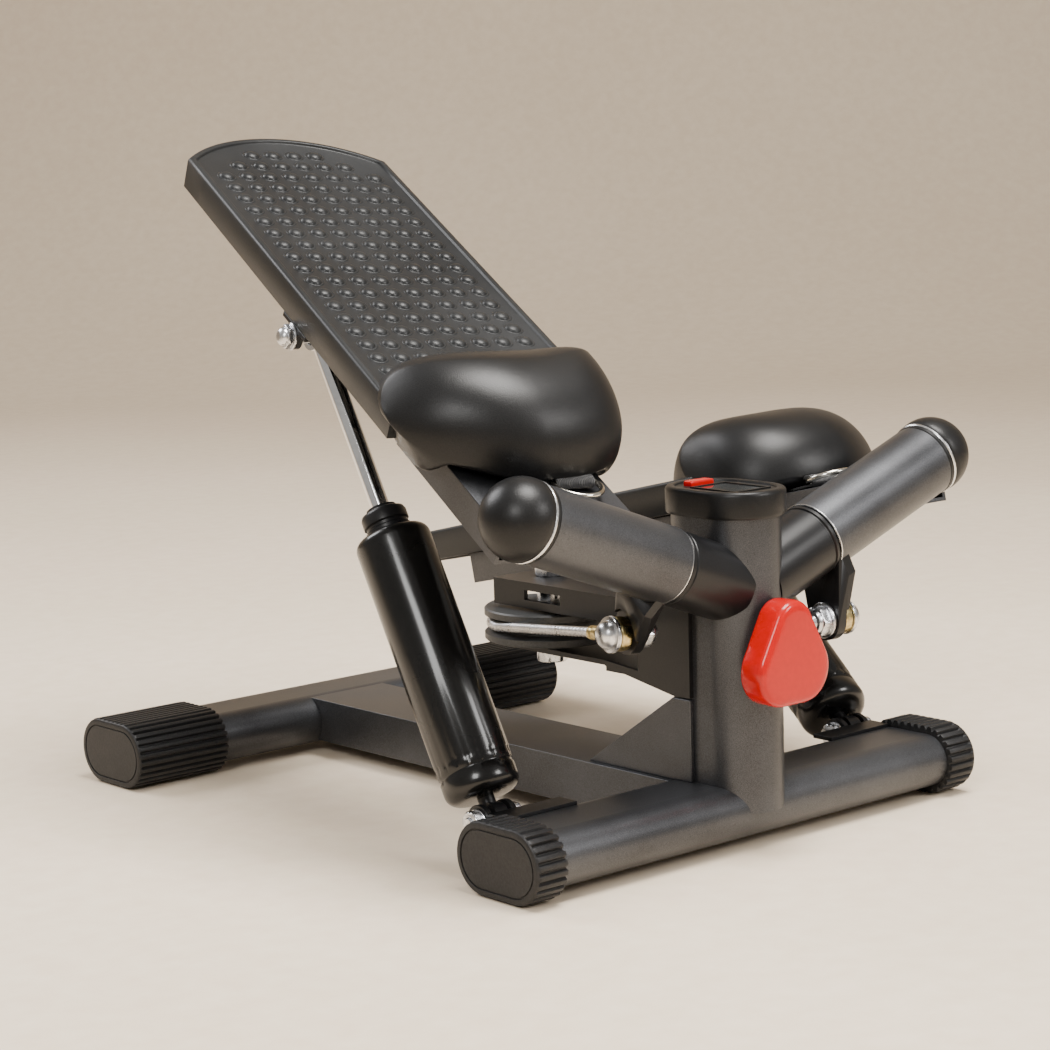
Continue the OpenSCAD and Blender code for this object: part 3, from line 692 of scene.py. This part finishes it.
def guard_curves(s):
    """Crest, front, rear foot and base across the guard, for s from -1, outside, to 1, inside."""
    size = np.abs(s)
    outer = 33.0 * np.clip(1 - size ** 2.3, 0, None) ** 0.62
    inner = 33.0 * np.clip(1 - size ** 5.0, 0, None) ** 0.55
    crest_w = outer + (inner - outer) * smooth_step(s, -0.2, 0.6)
    crest_v = -49 + 30 * size ** 2.2
    front_v = -102 + np.where(s < 0, 44 * size ** 1.6, 30 * size ** 2.6)
    rear_v = 1 - 24 * size ** 5
    base_w = (-20.2 - 13.0 * smooth_step(size, 0.62, 0.73) + 22.0 * smooth_step(-s, 0.66, 1.0)
              + 12.0 * smooth_step(s, 0.72, 1.0))
    return crest_w, crest_v, front_v, rear_v, base_w


def guard_part():
    """Each quarter is corner + reach * (cos, sin) to a power: about 1 is round, above 1 flatter."""
    s = np.sin(np.linspace(-math.pi / 2, math.pi / 2, GUARD_STATIONS))[:, None]
    crest_w, crest_v, front_v, rear_v, base_w = guard_curves(s)
    front_w = np.full_like(s, -11.0)
    rear_w = np.full_like(s, -3.0)
    base_v = 0.55 * front_v + 0.45 * rear_v
    turn = np.linspace(0, math.pi / 2, QUARTER_STEPS)[None, :-1]
    cosine, sine = np.cos(turn), np.sin(turn)
    v = np.concatenate([crest_v + (front_v - crest_v) * cosine ** 0.92,
                        crest_v + (rear_v - crest_v) * sine ** 1.35,
                        base_v + (rear_v - base_v) * cosine ** 0.5,
                        base_v + (front_v - base_v) * sine ** 0.75], 1)
    w = np.concatenate([front_w + (crest_w - front_w) * sine ** 0.92,
                        rear_w + (crest_w - rear_w) * cosine ** 1.35,
                        base_w + (rear_w - base_w) * (1 - sine) ** 0.6,
                        base_w + (front_w - base_w) * (1 - cosine) ** 0.9], 1)
    shrink = np.clip(1 - np.abs(s) ** 12, 0, None) ** 0.5
    mid_v, mid_w = (front_v + rear_v) / 2, (np.maximum(crest_w, 4) + base_w) / 2
    v = mid_v + shrink * (v - mid_v)
    w = mid_w + shrink * (w - mid_w)
    u = np.broadcast_to(GUARD_HALF * s + GUARD_MIDDLE, v.shape)
    return sheet_of(np.stack([u, v, w], -1))


for side in SIDES:
    points, faces = guard_part()
    make(side + "_guard", (on_pedal(points, side), faces), side + "_pedal", moulding,
         ["toe_guard_" + side], sharp=80)
print("guards built")

# %% [markdown]
# ## Pivot ends
# Each sleeve ends in a black dome on a short band, with a bright ring between them. At the inner end
# a fixed collar comes out of the post and finishes in a groove and a thin flange, and the sleeve's
# own rim has worn bright. These are all lathe profiles on the pivot axis.

# %% Build the domes, rings and collars
SLEEVE = (63.0, 165.0)
SLEEVE_R = 22.0
DOME_TIP = 196.0
COLLAR_R = 21.3


def on_pivot(points, side):
    """z runs outward along the pivot axis from the machine's middle."""
    return swung(on_line(points, PIVOT_AT, PIVOT_AXIS), side)


def dome_profile():
    """A band, a groove for the ring, then a quarter ellipse to the tip."""
    base = SLEEVE[1] + 4.4
    tall = DOME_TIP - base - 4.0
    angle = np.radians(np.linspace(0, 90, 22))
    ball = np.stack([23.0 * np.cos(angle), base + 4.0 + tall * np.sin(angle)], -1)
    return [[19, SLEEVE[1] + 0.1], [21.6, SLEEVE[1] + 0.1], [22.2, SLEEVE[1] + 0.6],
            [22.2, base - 1.2], [21.2, base - 0.9], [21.2, base + 0.1], [22.4, base + 0.3],
            [22.9, base + 1.0]] + ball.tolist()


for side in SIDES:
    dome = lathe(dome_profile(), 96)
    make(side + "_dome", moved(dome, lambda p: on_pivot(p, side)), side + "_pedal", moulding,
         ["dome_cap_" + side], sharp=40)
    ring_at = SLEEVE[1] + 2.7
    bright = lathe([[20.5, ring_at], [22.4, ring_at], [22.8, ring_at + 0.4],
                    [22.8, ring_at + 1.3], [22.4, ring_at + 1.7], [20.5, ring_at + 1.7]], 96)
    rim = lathe([[20.5, SLEEVE[0] - 0.02], [SLEEVE_R - 0.3, SLEEVE[0] - 0.02],
                 [SLEEVE_R + 0.12, SLEEVE[0] + 0.35], [SLEEVE_R + 0.12, SLEEVE[0] + 0.8],
                 [20.5, SLEEVE[0] + 0.8]], 96)
    make(side + "_bright_rings", moved(joined([bright, rim]), lambda p: on_pivot(p, side)),
         side + "_pedal", worn_edge)
collars = []
for side in SIDES:
    collar = lathe([[10.2, 11], [COLLAR_R, 11], [COLLAR_R, 58.2], [COLLAR_R - 0.6, 58.8],
                    [COLLAR_R - 0.6, 59.4], [COLLAR_R + 0.3, 59.9], [COLLAR_R + 0.3, 61.9],
                    [COLLAR_R - 0.2, 62.5], [10.2, 62.5]], 128)
    collars.append(moved(collar, lambda p: mirrored(on_line(p, PIVOT_AT, PIVOT_AXIS), side)))
make("pivot_collar_pair", joined(collars), "frame", black_paint, ["pivot_collars"],
     sharp=35)
print("pivot ends built")

# %% [markdown]
# ## Dampers
# A damper is a rolled steel tube: a crimped band holds its base plug, and the top is drawn in to a
# neck. The crimp is a ring of small dents, so here the radius depends on the angle as well as on
# the height. Everything is placed on the line from the foot to the rod's direction.

# %% Build the dampers
DAMPER_R = 22.0
CRIMP_AT = 33.0


def damper_body_part():
    """A lathe whose rings near the crimp lose a little radius where a cosine of the angle is high."""
    profile = ([[0, 12.4], [8.0, 12.4], [11.5, 12.6]] + fillet((14.4, 20.2), 7.4, -86, 0, 10)
               + [[21.8, 26.4], [21.0, 27.6], [21.0, 28.6], [21.8, 29.8], [21.7, CRIMP_AT],
                  [21.7, CRIMP_AT + 2.2], [DAMPER_R, CRIMP_AT + 3.6], [DAMPER_R, 100.0],
                  [DAMPER_R, 166.0]] + fillet((DAMPER_R - 6.0, 169.0), 6.0, 0, 70, 10)
               + [[15.6, 175.6], [14.4, 176.0], [0, 176.2]])
    points, faces = lathe(profile, 144)
    angle = np.arctan2(points[:, 1], points[:, 0])
    band = np.exp(-((points[:, 2] - CRIMP_AT - 1.1) / 1.6) ** 2)
    dent = 1 - 0.030 * band * np.clip(np.cos(18 * angle), 0, 1)
    points[:, :2] *= dent[:, None]
    return points, faces


def gland_part():
    """The neck that guides the rod: a smooth collar with a wiper lip."""
    return lathe([[0, 175.5], [13.2, 175.5], [13.2, 178.2], [12.2, 179.0], [12.2, 180.6],
                  [13.4, 181.4], [13.4, 186.6], [12.6, 188.4], [10.4, 189.6], [9.2, 189.8],
                  [8.8, 191.4], [6.6, 191.9], [5.7, 191.2], [5.7, 184.0], [0, 184.0]], 96)


for side in SIDES:
    foot = np.array(joints[side + "_damper"]["pos_m"]) / MM
    line = np.array(joints[side + "_damper_rod"]["axis"])
    place = lambda p: on_line(p, foot, line)
    make(side + "_damper_tube", moved(damper_body_part(), place), side + "_damper", enamel,
         ["damper_body_" + side], sharp=40)
    make(side + "_damper_neck", moved(gland_part(), place), side + "_damper", black_paint,
         ["damper_gland_" + side], sharp=40)
print("dampers built")

# %% [markdown]
# ## Knob
# The knob is a three-cornered disc with its small corner up. Its outline is the hull of three
# circles: for any outward direction, the outline point lies on the circle that reaches furthest
# that way. Shrinking the circles' radii insets it evenly, so the soft front edge is a stack of insets.

# %% Build the knob
KNOB_CIRCLES = ((0.0, 15.5, 15.0), (-8.5, -9.5, 19.5), (8.5, -9.5, 19.5))


def knob_outline(inset, count=180):
    """The hull of three circles by furthest reach, with straight sides where two circles tie."""
    angle = np.linspace(0, 2 * math.pi, count, endpoint=False)
    ways = np.stack([np.cos(angle), np.sin(angle)], -1)
    circles = np.array(KNOB_CIRCLES)
    reach = ways @ circles[:, :2].T + circles[:, 2]
    furthest = circles[reach.argmax(1)]
    return furthest[:, :2] + (furthest[:, 2] - inset)[:, None] * ways


knob_joint = joints["knob_turn"]
knob_at = np.array(knob_joint["pos_m"]) / MM
knob_rings = [(4.0, 2.6), (1.2, 2.6), (0.4, 3.2), (0.2, 5.0), (0.0, 15.2), (0.25, 16.8), (0.95, 18.2),
              (2.1, 19.2), (3.6, 19.7), (6.0, 19.9), (10.0, 19.95)]
points, faces = outline_stack(knob_outline, knob_rings)
face_in = np.stack([points[:, 0], -points[:, 2], points[:, 1]], -1) + knob_at
hub = lathe([[0, 0.6], [10.5, 0.6], [11, 1.1], [11, 3.0], [0, 3.0]], 48)
hub_in = np.stack([hub[0][:, 0], -hub[0][:, 2], hub[0][:, 1]], -1) + knob_at
make("red_knob", joined([(face_in, faces), (hub_in, hub[1])]), "knob", red, ["knob"],
     sharp=50)
print("knob at", knob_at.round(1))

# %% [markdown]
# ## Console
# A black cap with a raised rim closes the post. Its plan is the post's flat oval, grown by three
# millimetres. Inside the rim lie a sunk window and a red rocker button, which is a rounded block:
# a superellipsoid, whose high powers make its sides flat.

# %% Build the console
CONSOLE_W, CONSOLE_D = 54.0, 74.0


def console_outline(inset):
    """The flat oval with its long way along y."""
    points = flat_oval(CONSOLE_D - 2 * inset, CONSOLE_W - 2 * inset, 160)
    return points[:, ::-1]


def rounded_block(centre, half, power=0.22, count=40):
    """A superellipsoid: cosines and sines of two angles, raised to a small power."""
    tall = np.linspace(-math.pi / 2, math.pi / 2, count // 2)[:, None]
    round_ = np.linspace(0, 2 * math.pi, count, endpoint=False)[None]
    x = signed_power(np.cos(tall), power) * signed_power(np.cos(round_), power)
    y = signed_power(np.cos(tall), power) * signed_power(np.sin(round_), power)
    z = np.broadcast_to(signed_power(np.sin(tall), power), x.shape)
    return sheet_of(np.stack([x, y, z], -1) * half + centre)


def frame_bar(centre, half, width, low, high):
    """Four bars round a rectangle, mitred away by overlapping their ends."""
    x, y = centre
    hx, hy = half
    lows = [[x - hx - width, y - hy - width, low], [x - hx - width, y + hy, low],
            [x - hx - width, y - hy, low], [x + hx, y - hy, low]]
    highs = [[x + hx + width, y - hy, high], [x + hx + width, y + hy + width, high],
             [x - hx, y + hy, high], [x + hx + width, y + hy, high]]
    return bars(lows, highs)


console_low, console_high = (np.array(corner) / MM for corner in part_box("console_housing"))
top = console_high[2]
console_rings = [(3.2, console_low[2] + 0.1), (0.9, console_low[2] + 0.1), (0.3, console_low[2] + 0.7),
                 (0.0, console_low[2] + 2.0), (0.0, top - 2.6), (0.35, top - 1.2), (1.1, top - 0.35),
                 (2.2, top), (4.6, top), (5.3, top - 0.4), (5.7, top - 1.3)]
shell = outline_stack(console_outline, console_rings)
bezel = frame_bar((0.0, -4.0), (12.4, 16.4), 1.6, top - 2.0, top - 0.5)
make("console_shell", joined([shell, bezel]), "frame", moulding,
     ["console_housing"], sharp=35)
glass = rounded_block(np.array([0, -4, top - 1.7]), np.array([12.6, 16.6, 0.7]), 0.12)
make("console_window", glass, "frame", window, ["console_lens"], sharp=40)
rocker_low, rocker_high = (np.array(corner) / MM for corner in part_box("console_button"))
rocker_half = (rocker_high - rocker_low) / 2
rocker = rounded_block((rocker_low + rocker_high) / 2 - [0, 0, 0.9],
                       rocker_half - [0.8, 1.4, 0.9], 0.2, 64)
make("rocker_button", rocker, "console_button", red, ["console_button"], sharp=60)
print("console top", round(top, 1))

# %% [markdown]
# ## Wire rope
# A rope of six strands shows six rounded lobes that turn about its centre line as they go along. So
# the tube's radius depends on the angle and on the distance walked: a power of a cosine of three
# times the angle, turned by the lay. The rope goes round the pulley and a little way along each
# run; a straight length rides on each end fitting, and slides over the other as the pedals swing.

# %% Build the wire rope
ROPE_R = 3.0
ROPE_LAY = 26.0
WRAP_R = 37.0
ROPE_Z = 110.0
FERRULE_L = 28.0
FIXED_RUN, MOVING_RUN = 46.0, 114.0
PULLEY_Y = joints["pulley_turn"]["pos_m"][1] / MM


def rope(path, around=36):
    """Lobed radius: six bumps round the circle, turned by the distance walked over the lay."""
    path = np.asarray(path, float)
    walked = np.concatenate([[0], np.cumsum(np.linalg.norm(np.diff(path, axis=0), axis=1))])
    angle = np.linspace(0, 2 * math.pi, around, endpoint=False)
    lobes = np.abs(np.cos(3 * (angle[None] - 2 * math.pi * walked[:, None] / ROPE_LAY)))
    return carried(path, ROPE_R * (0.80 + 0.20 * lobes ** 0.6), around)


def straight(start, stop, step=0.9):
    """Equal steps from one point to another."""
    count = max(2, int(np.linalg.norm(np.subtract(stop, start)) / step))
    return np.linspace(start, stop, count)


def touch_point(eye):
    """Where a line from the eye touches the wrap circle, on the left side."""
    away = math.atan2(PULLEY_Y - eye[1], -eye[0])
    angle = away + math.asin(WRAP_R / math.hypot(eye[0], PULLEY_Y - eye[1]))
    return np.array([-WRAP_R * math.sin(angle), PULLEY_Y + WRAP_R * math.cos(angle), ROPE_Z])


eyes = {side: np.array(joints[side + "_cable_end"]["pos_m"]) / MM for side in SIDES}
touches = {side: mirrored(touch_point(mirrored(eyes[side], side)), side) for side in SIDES}
ways = {side: unit(touches[side] - eyes[side]) for side in SIDES}


def wrap_path():
    """Left run, arc over the pulley's rear, right run."""
    left, right = touches["left"], touches["right"]
    start = math.atan2(left[1] - PULLEY_Y, left[0])
    stop = math.atan2(right[1] - PULLEY_Y, right[0])
    angle = np.linspace(start, stop, 120)
    arc = np.stack([WRAP_R * np.cos(angle), PULLEY_Y + WRAP_R * np.sin(angle),
                    np.full(120, ROPE_Z)], -1)
    first = straight(left - ways["left"] * FIXED_RUN, left)[:-1]
    last = straight(right, right - ways["right"] * FIXED_RUN)[1:]
    return np.concatenate([first, arc, last])


make("wire_rope", rope(wrap_path()), "frame", wire, ["cable"], sharp=60)
for side in SIDES:
    run = straight(eyes[side] + ways[side] * (FERRULE_L - 6),
                   eyes[side] + ways[side] * (FERRULE_L + MOVING_RUN))
    make(side + "_rope_run", rope(run), side + "_cable_end", wire, sharp=60)
print("rope touches", touches["left"].round(1))

# %% [markdown]
# ## End fittings and fasteners
# A cable end is an eye with a pressed ferrule, stepped by its dies. The bolts are lathe profiles for
# heads, washers and shanks, hexagons for the nuts and sawtooth rings for the threads. All of them
# lie on axes that the joints give.

# %% Build the cable ends and the lug bolts
LUG_BOLT_R = 5.0


def eye_part():
    """A ring with rounded rims about z, centred on the bolt."""
    return lathe([[5.2, -4], [8.6, -4], [9.6, -3], [9.9, 0], [9.6, 3], [8.6, 4], [5.2, 4], [5.06, 3.4],
                  [5.06, -3.4], [5.2, -4]], 64)


def ferrule_part():
    """A swaged sleeve: a taper off the eye, then three pressed waists."""
    heights = np.linspace(8.5, FERRULE_L, 60)
    radii = 4.15 - 0.35 * np.clip(np.sin((heights - 11) * 1.05), 0, 1) ** 2
    end = [[3.1, FERRULE_L + 0.6], [0, FERRULE_L + 0.6]]
    return lathe([[0, 8.0]] + np.stack([radii, heights], -1).tolist() + end, 48)


def lug_bolt_part():
    """From the outside in: flanged dome head, washer, then washer, lock nut and thread.
    Heights run along the bolt, towards the machine's middle, from the eye's centre."""
    head = lathe([[0, -13.6], [3.0, -13.4], [5.2, -12.6], [7.2, -10.8], [8.2, -8.6], [8.2, -7.4],
                  [10.2, -6.9], [10.4, -6.2], [10.2, -5.9], [0, -5.9]], 64)
    inner = washer(10.5, 10.6, 12.4)
    nut = hexagon_bar(16.0, 12.4, 18.6)
    collar = lathe([[0, 18.4], [7.4, 18.4], [7.4, 19.4], [6.7, 20.8], [5.4, 21.2], [0, 21.2]], 48)
    shank = lathe([[0, -6], [LUG_BOLT_R, -6], [LUG_BOLT_R, 14], [0, 14]], 32)
    return joined([head, washer(10.5, -5.9, -4.3), shank, inner, nut, collar,
                   thread(LUG_BOLT_R, 20.0, 23.4)])


for side in SIDES:
    bolt_way = np.array(joints[side + "_cable_end"]["axis"])
    inward = bolt_way * (1 if bolt_way[0] * eyes[side][0] < 0 else -1)
    bolt = moved(lug_bolt_part(), lambda p: on_line(p, eyes[side], inward))
    make(side + "_lug_bolt", bolt, side + "_pedal", zinc, ["lug_bolt_" + side], sharp=30)
    eye = moved(eye_part(), lambda p: on_line(p, eyes[side], inward))
    aim = unit(ways[side] - inward * np.dot(ways[side], inward))
    ferrule = moved(ferrule_part(), lambda p: on_line(p, eyes[side], aim))
    make(side + "_cable_eye", joined([eye, ferrule]), side + "_cable_end", yellow_zinc,
         ["cable_eye_" + side], sharp=35)
print("lug bolts built")

# %% [markdown]
# The pedal pins and the floor bolts carry acorn and lock nuts. Their axes are the pedal's u axis at
# the pin, and the machine's x axis at the foot.

# %% Build the pins, floor bolts and the pulley bolt
PIN_UVW = (-51.0, 87.0, -28.0)
PIN_R = 4.0
SMALL_NUT, LARGE_NUT = 13.0, 17.0


def acorn(low, flat=3.4):
    """A hexagon with a washer face and a round dome on top."""
    top = low + flat
    dome = lathe([[0, top - 0.4], [5.6, top - 0.4]] + fillet((1.9, top), 3.7, 0, 88, 9)
                 + [[0, top + 3.7]], 48)
    return joined([hexagon_bar(SMALL_NUT, low, top), dome])


def flipped(part):
    """Turns a part about x by half a turn, so that it faces down."""
    return part[0] * [1, -1, -1], part[1]


def pin_part():
    """z runs along the pin from the pin's centre towards the machine's outside."""
    shank = lathe([[0, -17], [PIN_R, -17], [PIN_R, 20], [0, 20]], 32)
    spacer = lathe([[PIN_R, 17.6], [7.2, 17.6], [7.2, 18.9], [PIN_R, 18.9]], 40)
    return joined([shank, acorn(18.9), washer(8.0, 17.5, 18.8),
                   flipped(hexagon_bar(SMALL_NUT, 11.2, 16.6)), spacer])


for side in SIDES:
    points, faces = pin_part()
    local = np.stack([-points[:, 2], points[:, 1], points[:, 0]], -1) + PIN_UVW
    make(side + "_pedal_pin", (on_pedal(local, side), faces), side + "_pedal", zinc,
         ["damper_pin_" + side], sharp=30)

floor_bolts = []
for sign in (-1, 1):
    foot = np.array(joints["left_damper"]["pos_m"]) / MM * [-sign, 1, 1]
    shank = lathe([[0, -13], [PIN_R, -13], [PIN_R, 13], [0, 13]], 32)
    disc, nut = washer(7.6, 10.95, 12.2), hexagon_bar(SMALL_NUT, 12.2, 17.0)
    bolt = joined([shank, disc, nut, thread(PIN_R, 16.8, 18.8, 1.25), flipped(disc), flipped(nut)])
    floor_bolts.append(moved(bolt, lambda p: on_line(p, foot, (sign, 0, 0))))
make("floor_bolts", joined(floor_bolts), "frame", zinc, ["damper_bracket_bolts"], sharp=30)

pulley_bolt_low, pulley_bolt_high = (np.array(corner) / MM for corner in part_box("pulley_bolt"))
head_low = pulley_bolt_high[2] - 7.0
shank_low, shank_high = pulley_bolt_low[2] + 1, head_low + 1
bolt = joined([lathe([[0, shank_low], [5, shank_low], [5, shank_high], [0, shank_high]], 40),
               hexagon_bar(LARGE_NUT, head_low + 0.2, pulley_bolt_high[2]),
               hexagon_bar(LARGE_NUT, 85.0, 93.0)])
bolt = moved(bolt, lambda p: p + [0, PULLEY_Y, 0])
make("pulley_bolt_set", bolt, "frame", zinc, ["pulley_bolt"], sharp=30)
print("fasteners built")

# %% [markdown]
# ## D-rings and webbing
# A D-ring is bent wire: a straight bar and a half circle joined by short legs. The wire is carried
# along that path. The strap is a flat band that goes round the bar and back under the guard.

# %% Build the rings and straps
STRAP_AT = (17.0, -101.0, -15.0)
RING_HALF, RING_WIRE = 14.0, 1.6
RING_TILT = math.radians(-8)


def ring_part():
    """The path runs along the bar, down one leg, round the half circle and back, and closes."""
    angle = np.linspace(0, -math.pi, 40)
    bow = np.stack([RING_HALF * np.cos(angle), -4 + RING_HALF * np.sin(angle), 0 * angle], -1)
    corner = np.linspace(math.pi / 2, 0, 7)
    right = np.stack([RING_HALF - 2 + 2 * np.cos(corner), -2 + 2 * np.sin(corner), 0 * corner], -1)
    left = right[::-1] * [-1, 1, 1]
    bar = np.linspace([-RING_HALF + 2.5, 0, 0], [RING_HALF - 2.5, 0, 0], 12)
    path = np.concatenate([bar, right, bow, left])
    ahead = np.roll(path, -1, 0) - np.roll(path, 1, 0)
    ahead /= np.linalg.norm(ahead, axis=1)[:, None]
    side = np.cross(ahead, [0, 0, 1.0])
    ring = circle(20, RING_WIRE)
    grid = path[:, None] + ring[:, :1] * side[:, None] + ring[:, 1:] * np.array([0, 0, 1.0])
    return sheet_of(grid, along=True, caps=False)


def strap_part():
    """A band 24 wide and 1.3 thick: out along the arm, once round the bar, and back above."""
    angle = np.linspace(-math.pi / 2, -math.pi * 1.5, 16)
    loop = np.stack([2.9 * np.cos(angle), 2.9 * np.sin(angle)], -1)
    lower = np.linspace([20.0, -3.6], [1.5, -2.9], 12)
    upper = np.linspace([1.5, 2.9], [16.0, -1.6], 12)
    line = np.concatenate([lower, loop[1:-1], upper])
    ahead = np.gradient(line, axis=0)
    ahead /= np.linalg.norm(ahead, axis=1)[:, None]
    normal = np.stack([-ahead[:, 1], ahead[:, 0]], -1)
    edge = np.array([[-12.0, -0.6], [12.0, -0.6], [12.0, 0.6], [-12.0, 0.6]])
    grid = np.empty((len(line), 4, 3))
    grid[..., 0] = edge[:, 0]
    grid[..., 1:] = line[:, None] + normal[:, None] * edge[:, 1:]
    return sheet_of(grid)


for side in SIDES:
    points, faces = ring_part()
    tilted = turned(points, np.array([1.0, 0, 0]), RING_TILT) + STRAP_AT
    make(side + "_d_ring", (on_pedal(tilted, side), faces), side + "_ring", nickel,
         ["d_ring_" + side], sharp=60)
    points, faces = strap_part()
    make(side + "_strap", (on_pedal(points + STRAP_AT, side), faces), side + "_pedal", webbing,
         ["strap_loop_" + side], sharp=40, bevel=0.3)
print("rings and straps built")

# %% [markdown]
# ## Floor and light
# The machine is dark and satin, so its shape is read from broad reflections. Large soft lights do
# that: one overhead, one on each side of the front and one behind for the edges. The floor is a plain pale sheet that curves up behind, like a roll of backdrop paper.

# %% Build the stage
SWEEP_Y, SWEEP_R = 2.6, 1.2


def sweep_stage():
    """A profile in y and z, flat then a quarter circle up, drawn out along x and turned to face
    the camera."""
    bend = np.linspace(0, math.pi / 2, 24)
    curve = np.stack([SWEEP_Y + SWEEP_R * np.sin(bend), SWEEP_R - SWEEP_R * np.cos(bend)], -1)
    line = np.concatenate([[[-6.0, 0.0]], curve, [[SWEEP_Y + SWEEP_R, 5.0]]])
    across = np.array([-8.0, 8.0])
    grid = np.stack(np.broadcast_arrays(across[None], line[:, :1], line[:, 1:]), -1)
    return sheet_of(grid.astype(float), around=False, caps=False)


AIM_AT = (0.0, 0.12, 0.15)
floor_finish = finish("floor", (0.80, 0.66, 0.50), (0.86, 0.73, 0.57), (0.5, 0.65), grain=60,
                      bump=0.02, patch=2.0)
points, faces = sweep_stage()
turn_cos, turn_sin = math.cos(CAMERA_TURN), math.sin(CAMERA_TURN)
level = np.array([[turn_cos, turn_sin, 0], [-turn_sin, turn_cos, 0], [0, 0, 1]])
floor_mesh = bpy.data.meshes.new("floor")
floor_mesh.from_pydata((points @ level - [0, 0, 0.0004]).tolist(), [], faces)
floor_mesh.shade_smooth()
floor_mesh.materials.append(floor_finish)
floor = bpy.data.objects.new("floor", floor_mesh)
bpy.context.scene.collection.objects.link(floor)

LIGHTS = {"overhead": ((0.1, -0.3, 1.8), 0.8, 66.0, (1.0, 0.97, 0.93)),
          "left_front": ((-1.5, -0.8, 1.2), 0.5, 16.0, (1.0, 0.99, 0.97)),
          "right_front": ((0.7, -1.7, 1.2), 0.6, 22.0, (1.0, 0.98, 0.96)),
          "behind": ((-0.7, 1.9, 1.6), 1.0, 36.0, (0.98, 0.98, 1.0))}
for name, (place, size, power, colour) in LIGHTS.items():
    lamp = bpy.data.lights.new(name, "AREA")
    lamp.shape = "SQUARE"
    lamp.size = size
    lamp.energy = power
    lamp.color = colour
    holder = bpy.data.objects.new(name, lamp)
    bpy.context.scene.collection.objects.link(holder)
    holder.location = place
    aim = Vector(AIM_AT) - Vector(place)
    holder.rotation_euler = aim.to_track_quat("-Z", "Y").to_euler()

world = bpy.data.worlds.new("studio")
bpy.context.scene.world = world
world.use_nodes = True
backdrop = world.node_tree.nodes["Background"]
backdrop.inputs["Color"].default_value = (0.95, 0.90, 0.84, 1.0)
backdrop.inputs["Strength"].default_value = 0.45
print("lights", list(LIGHTS))
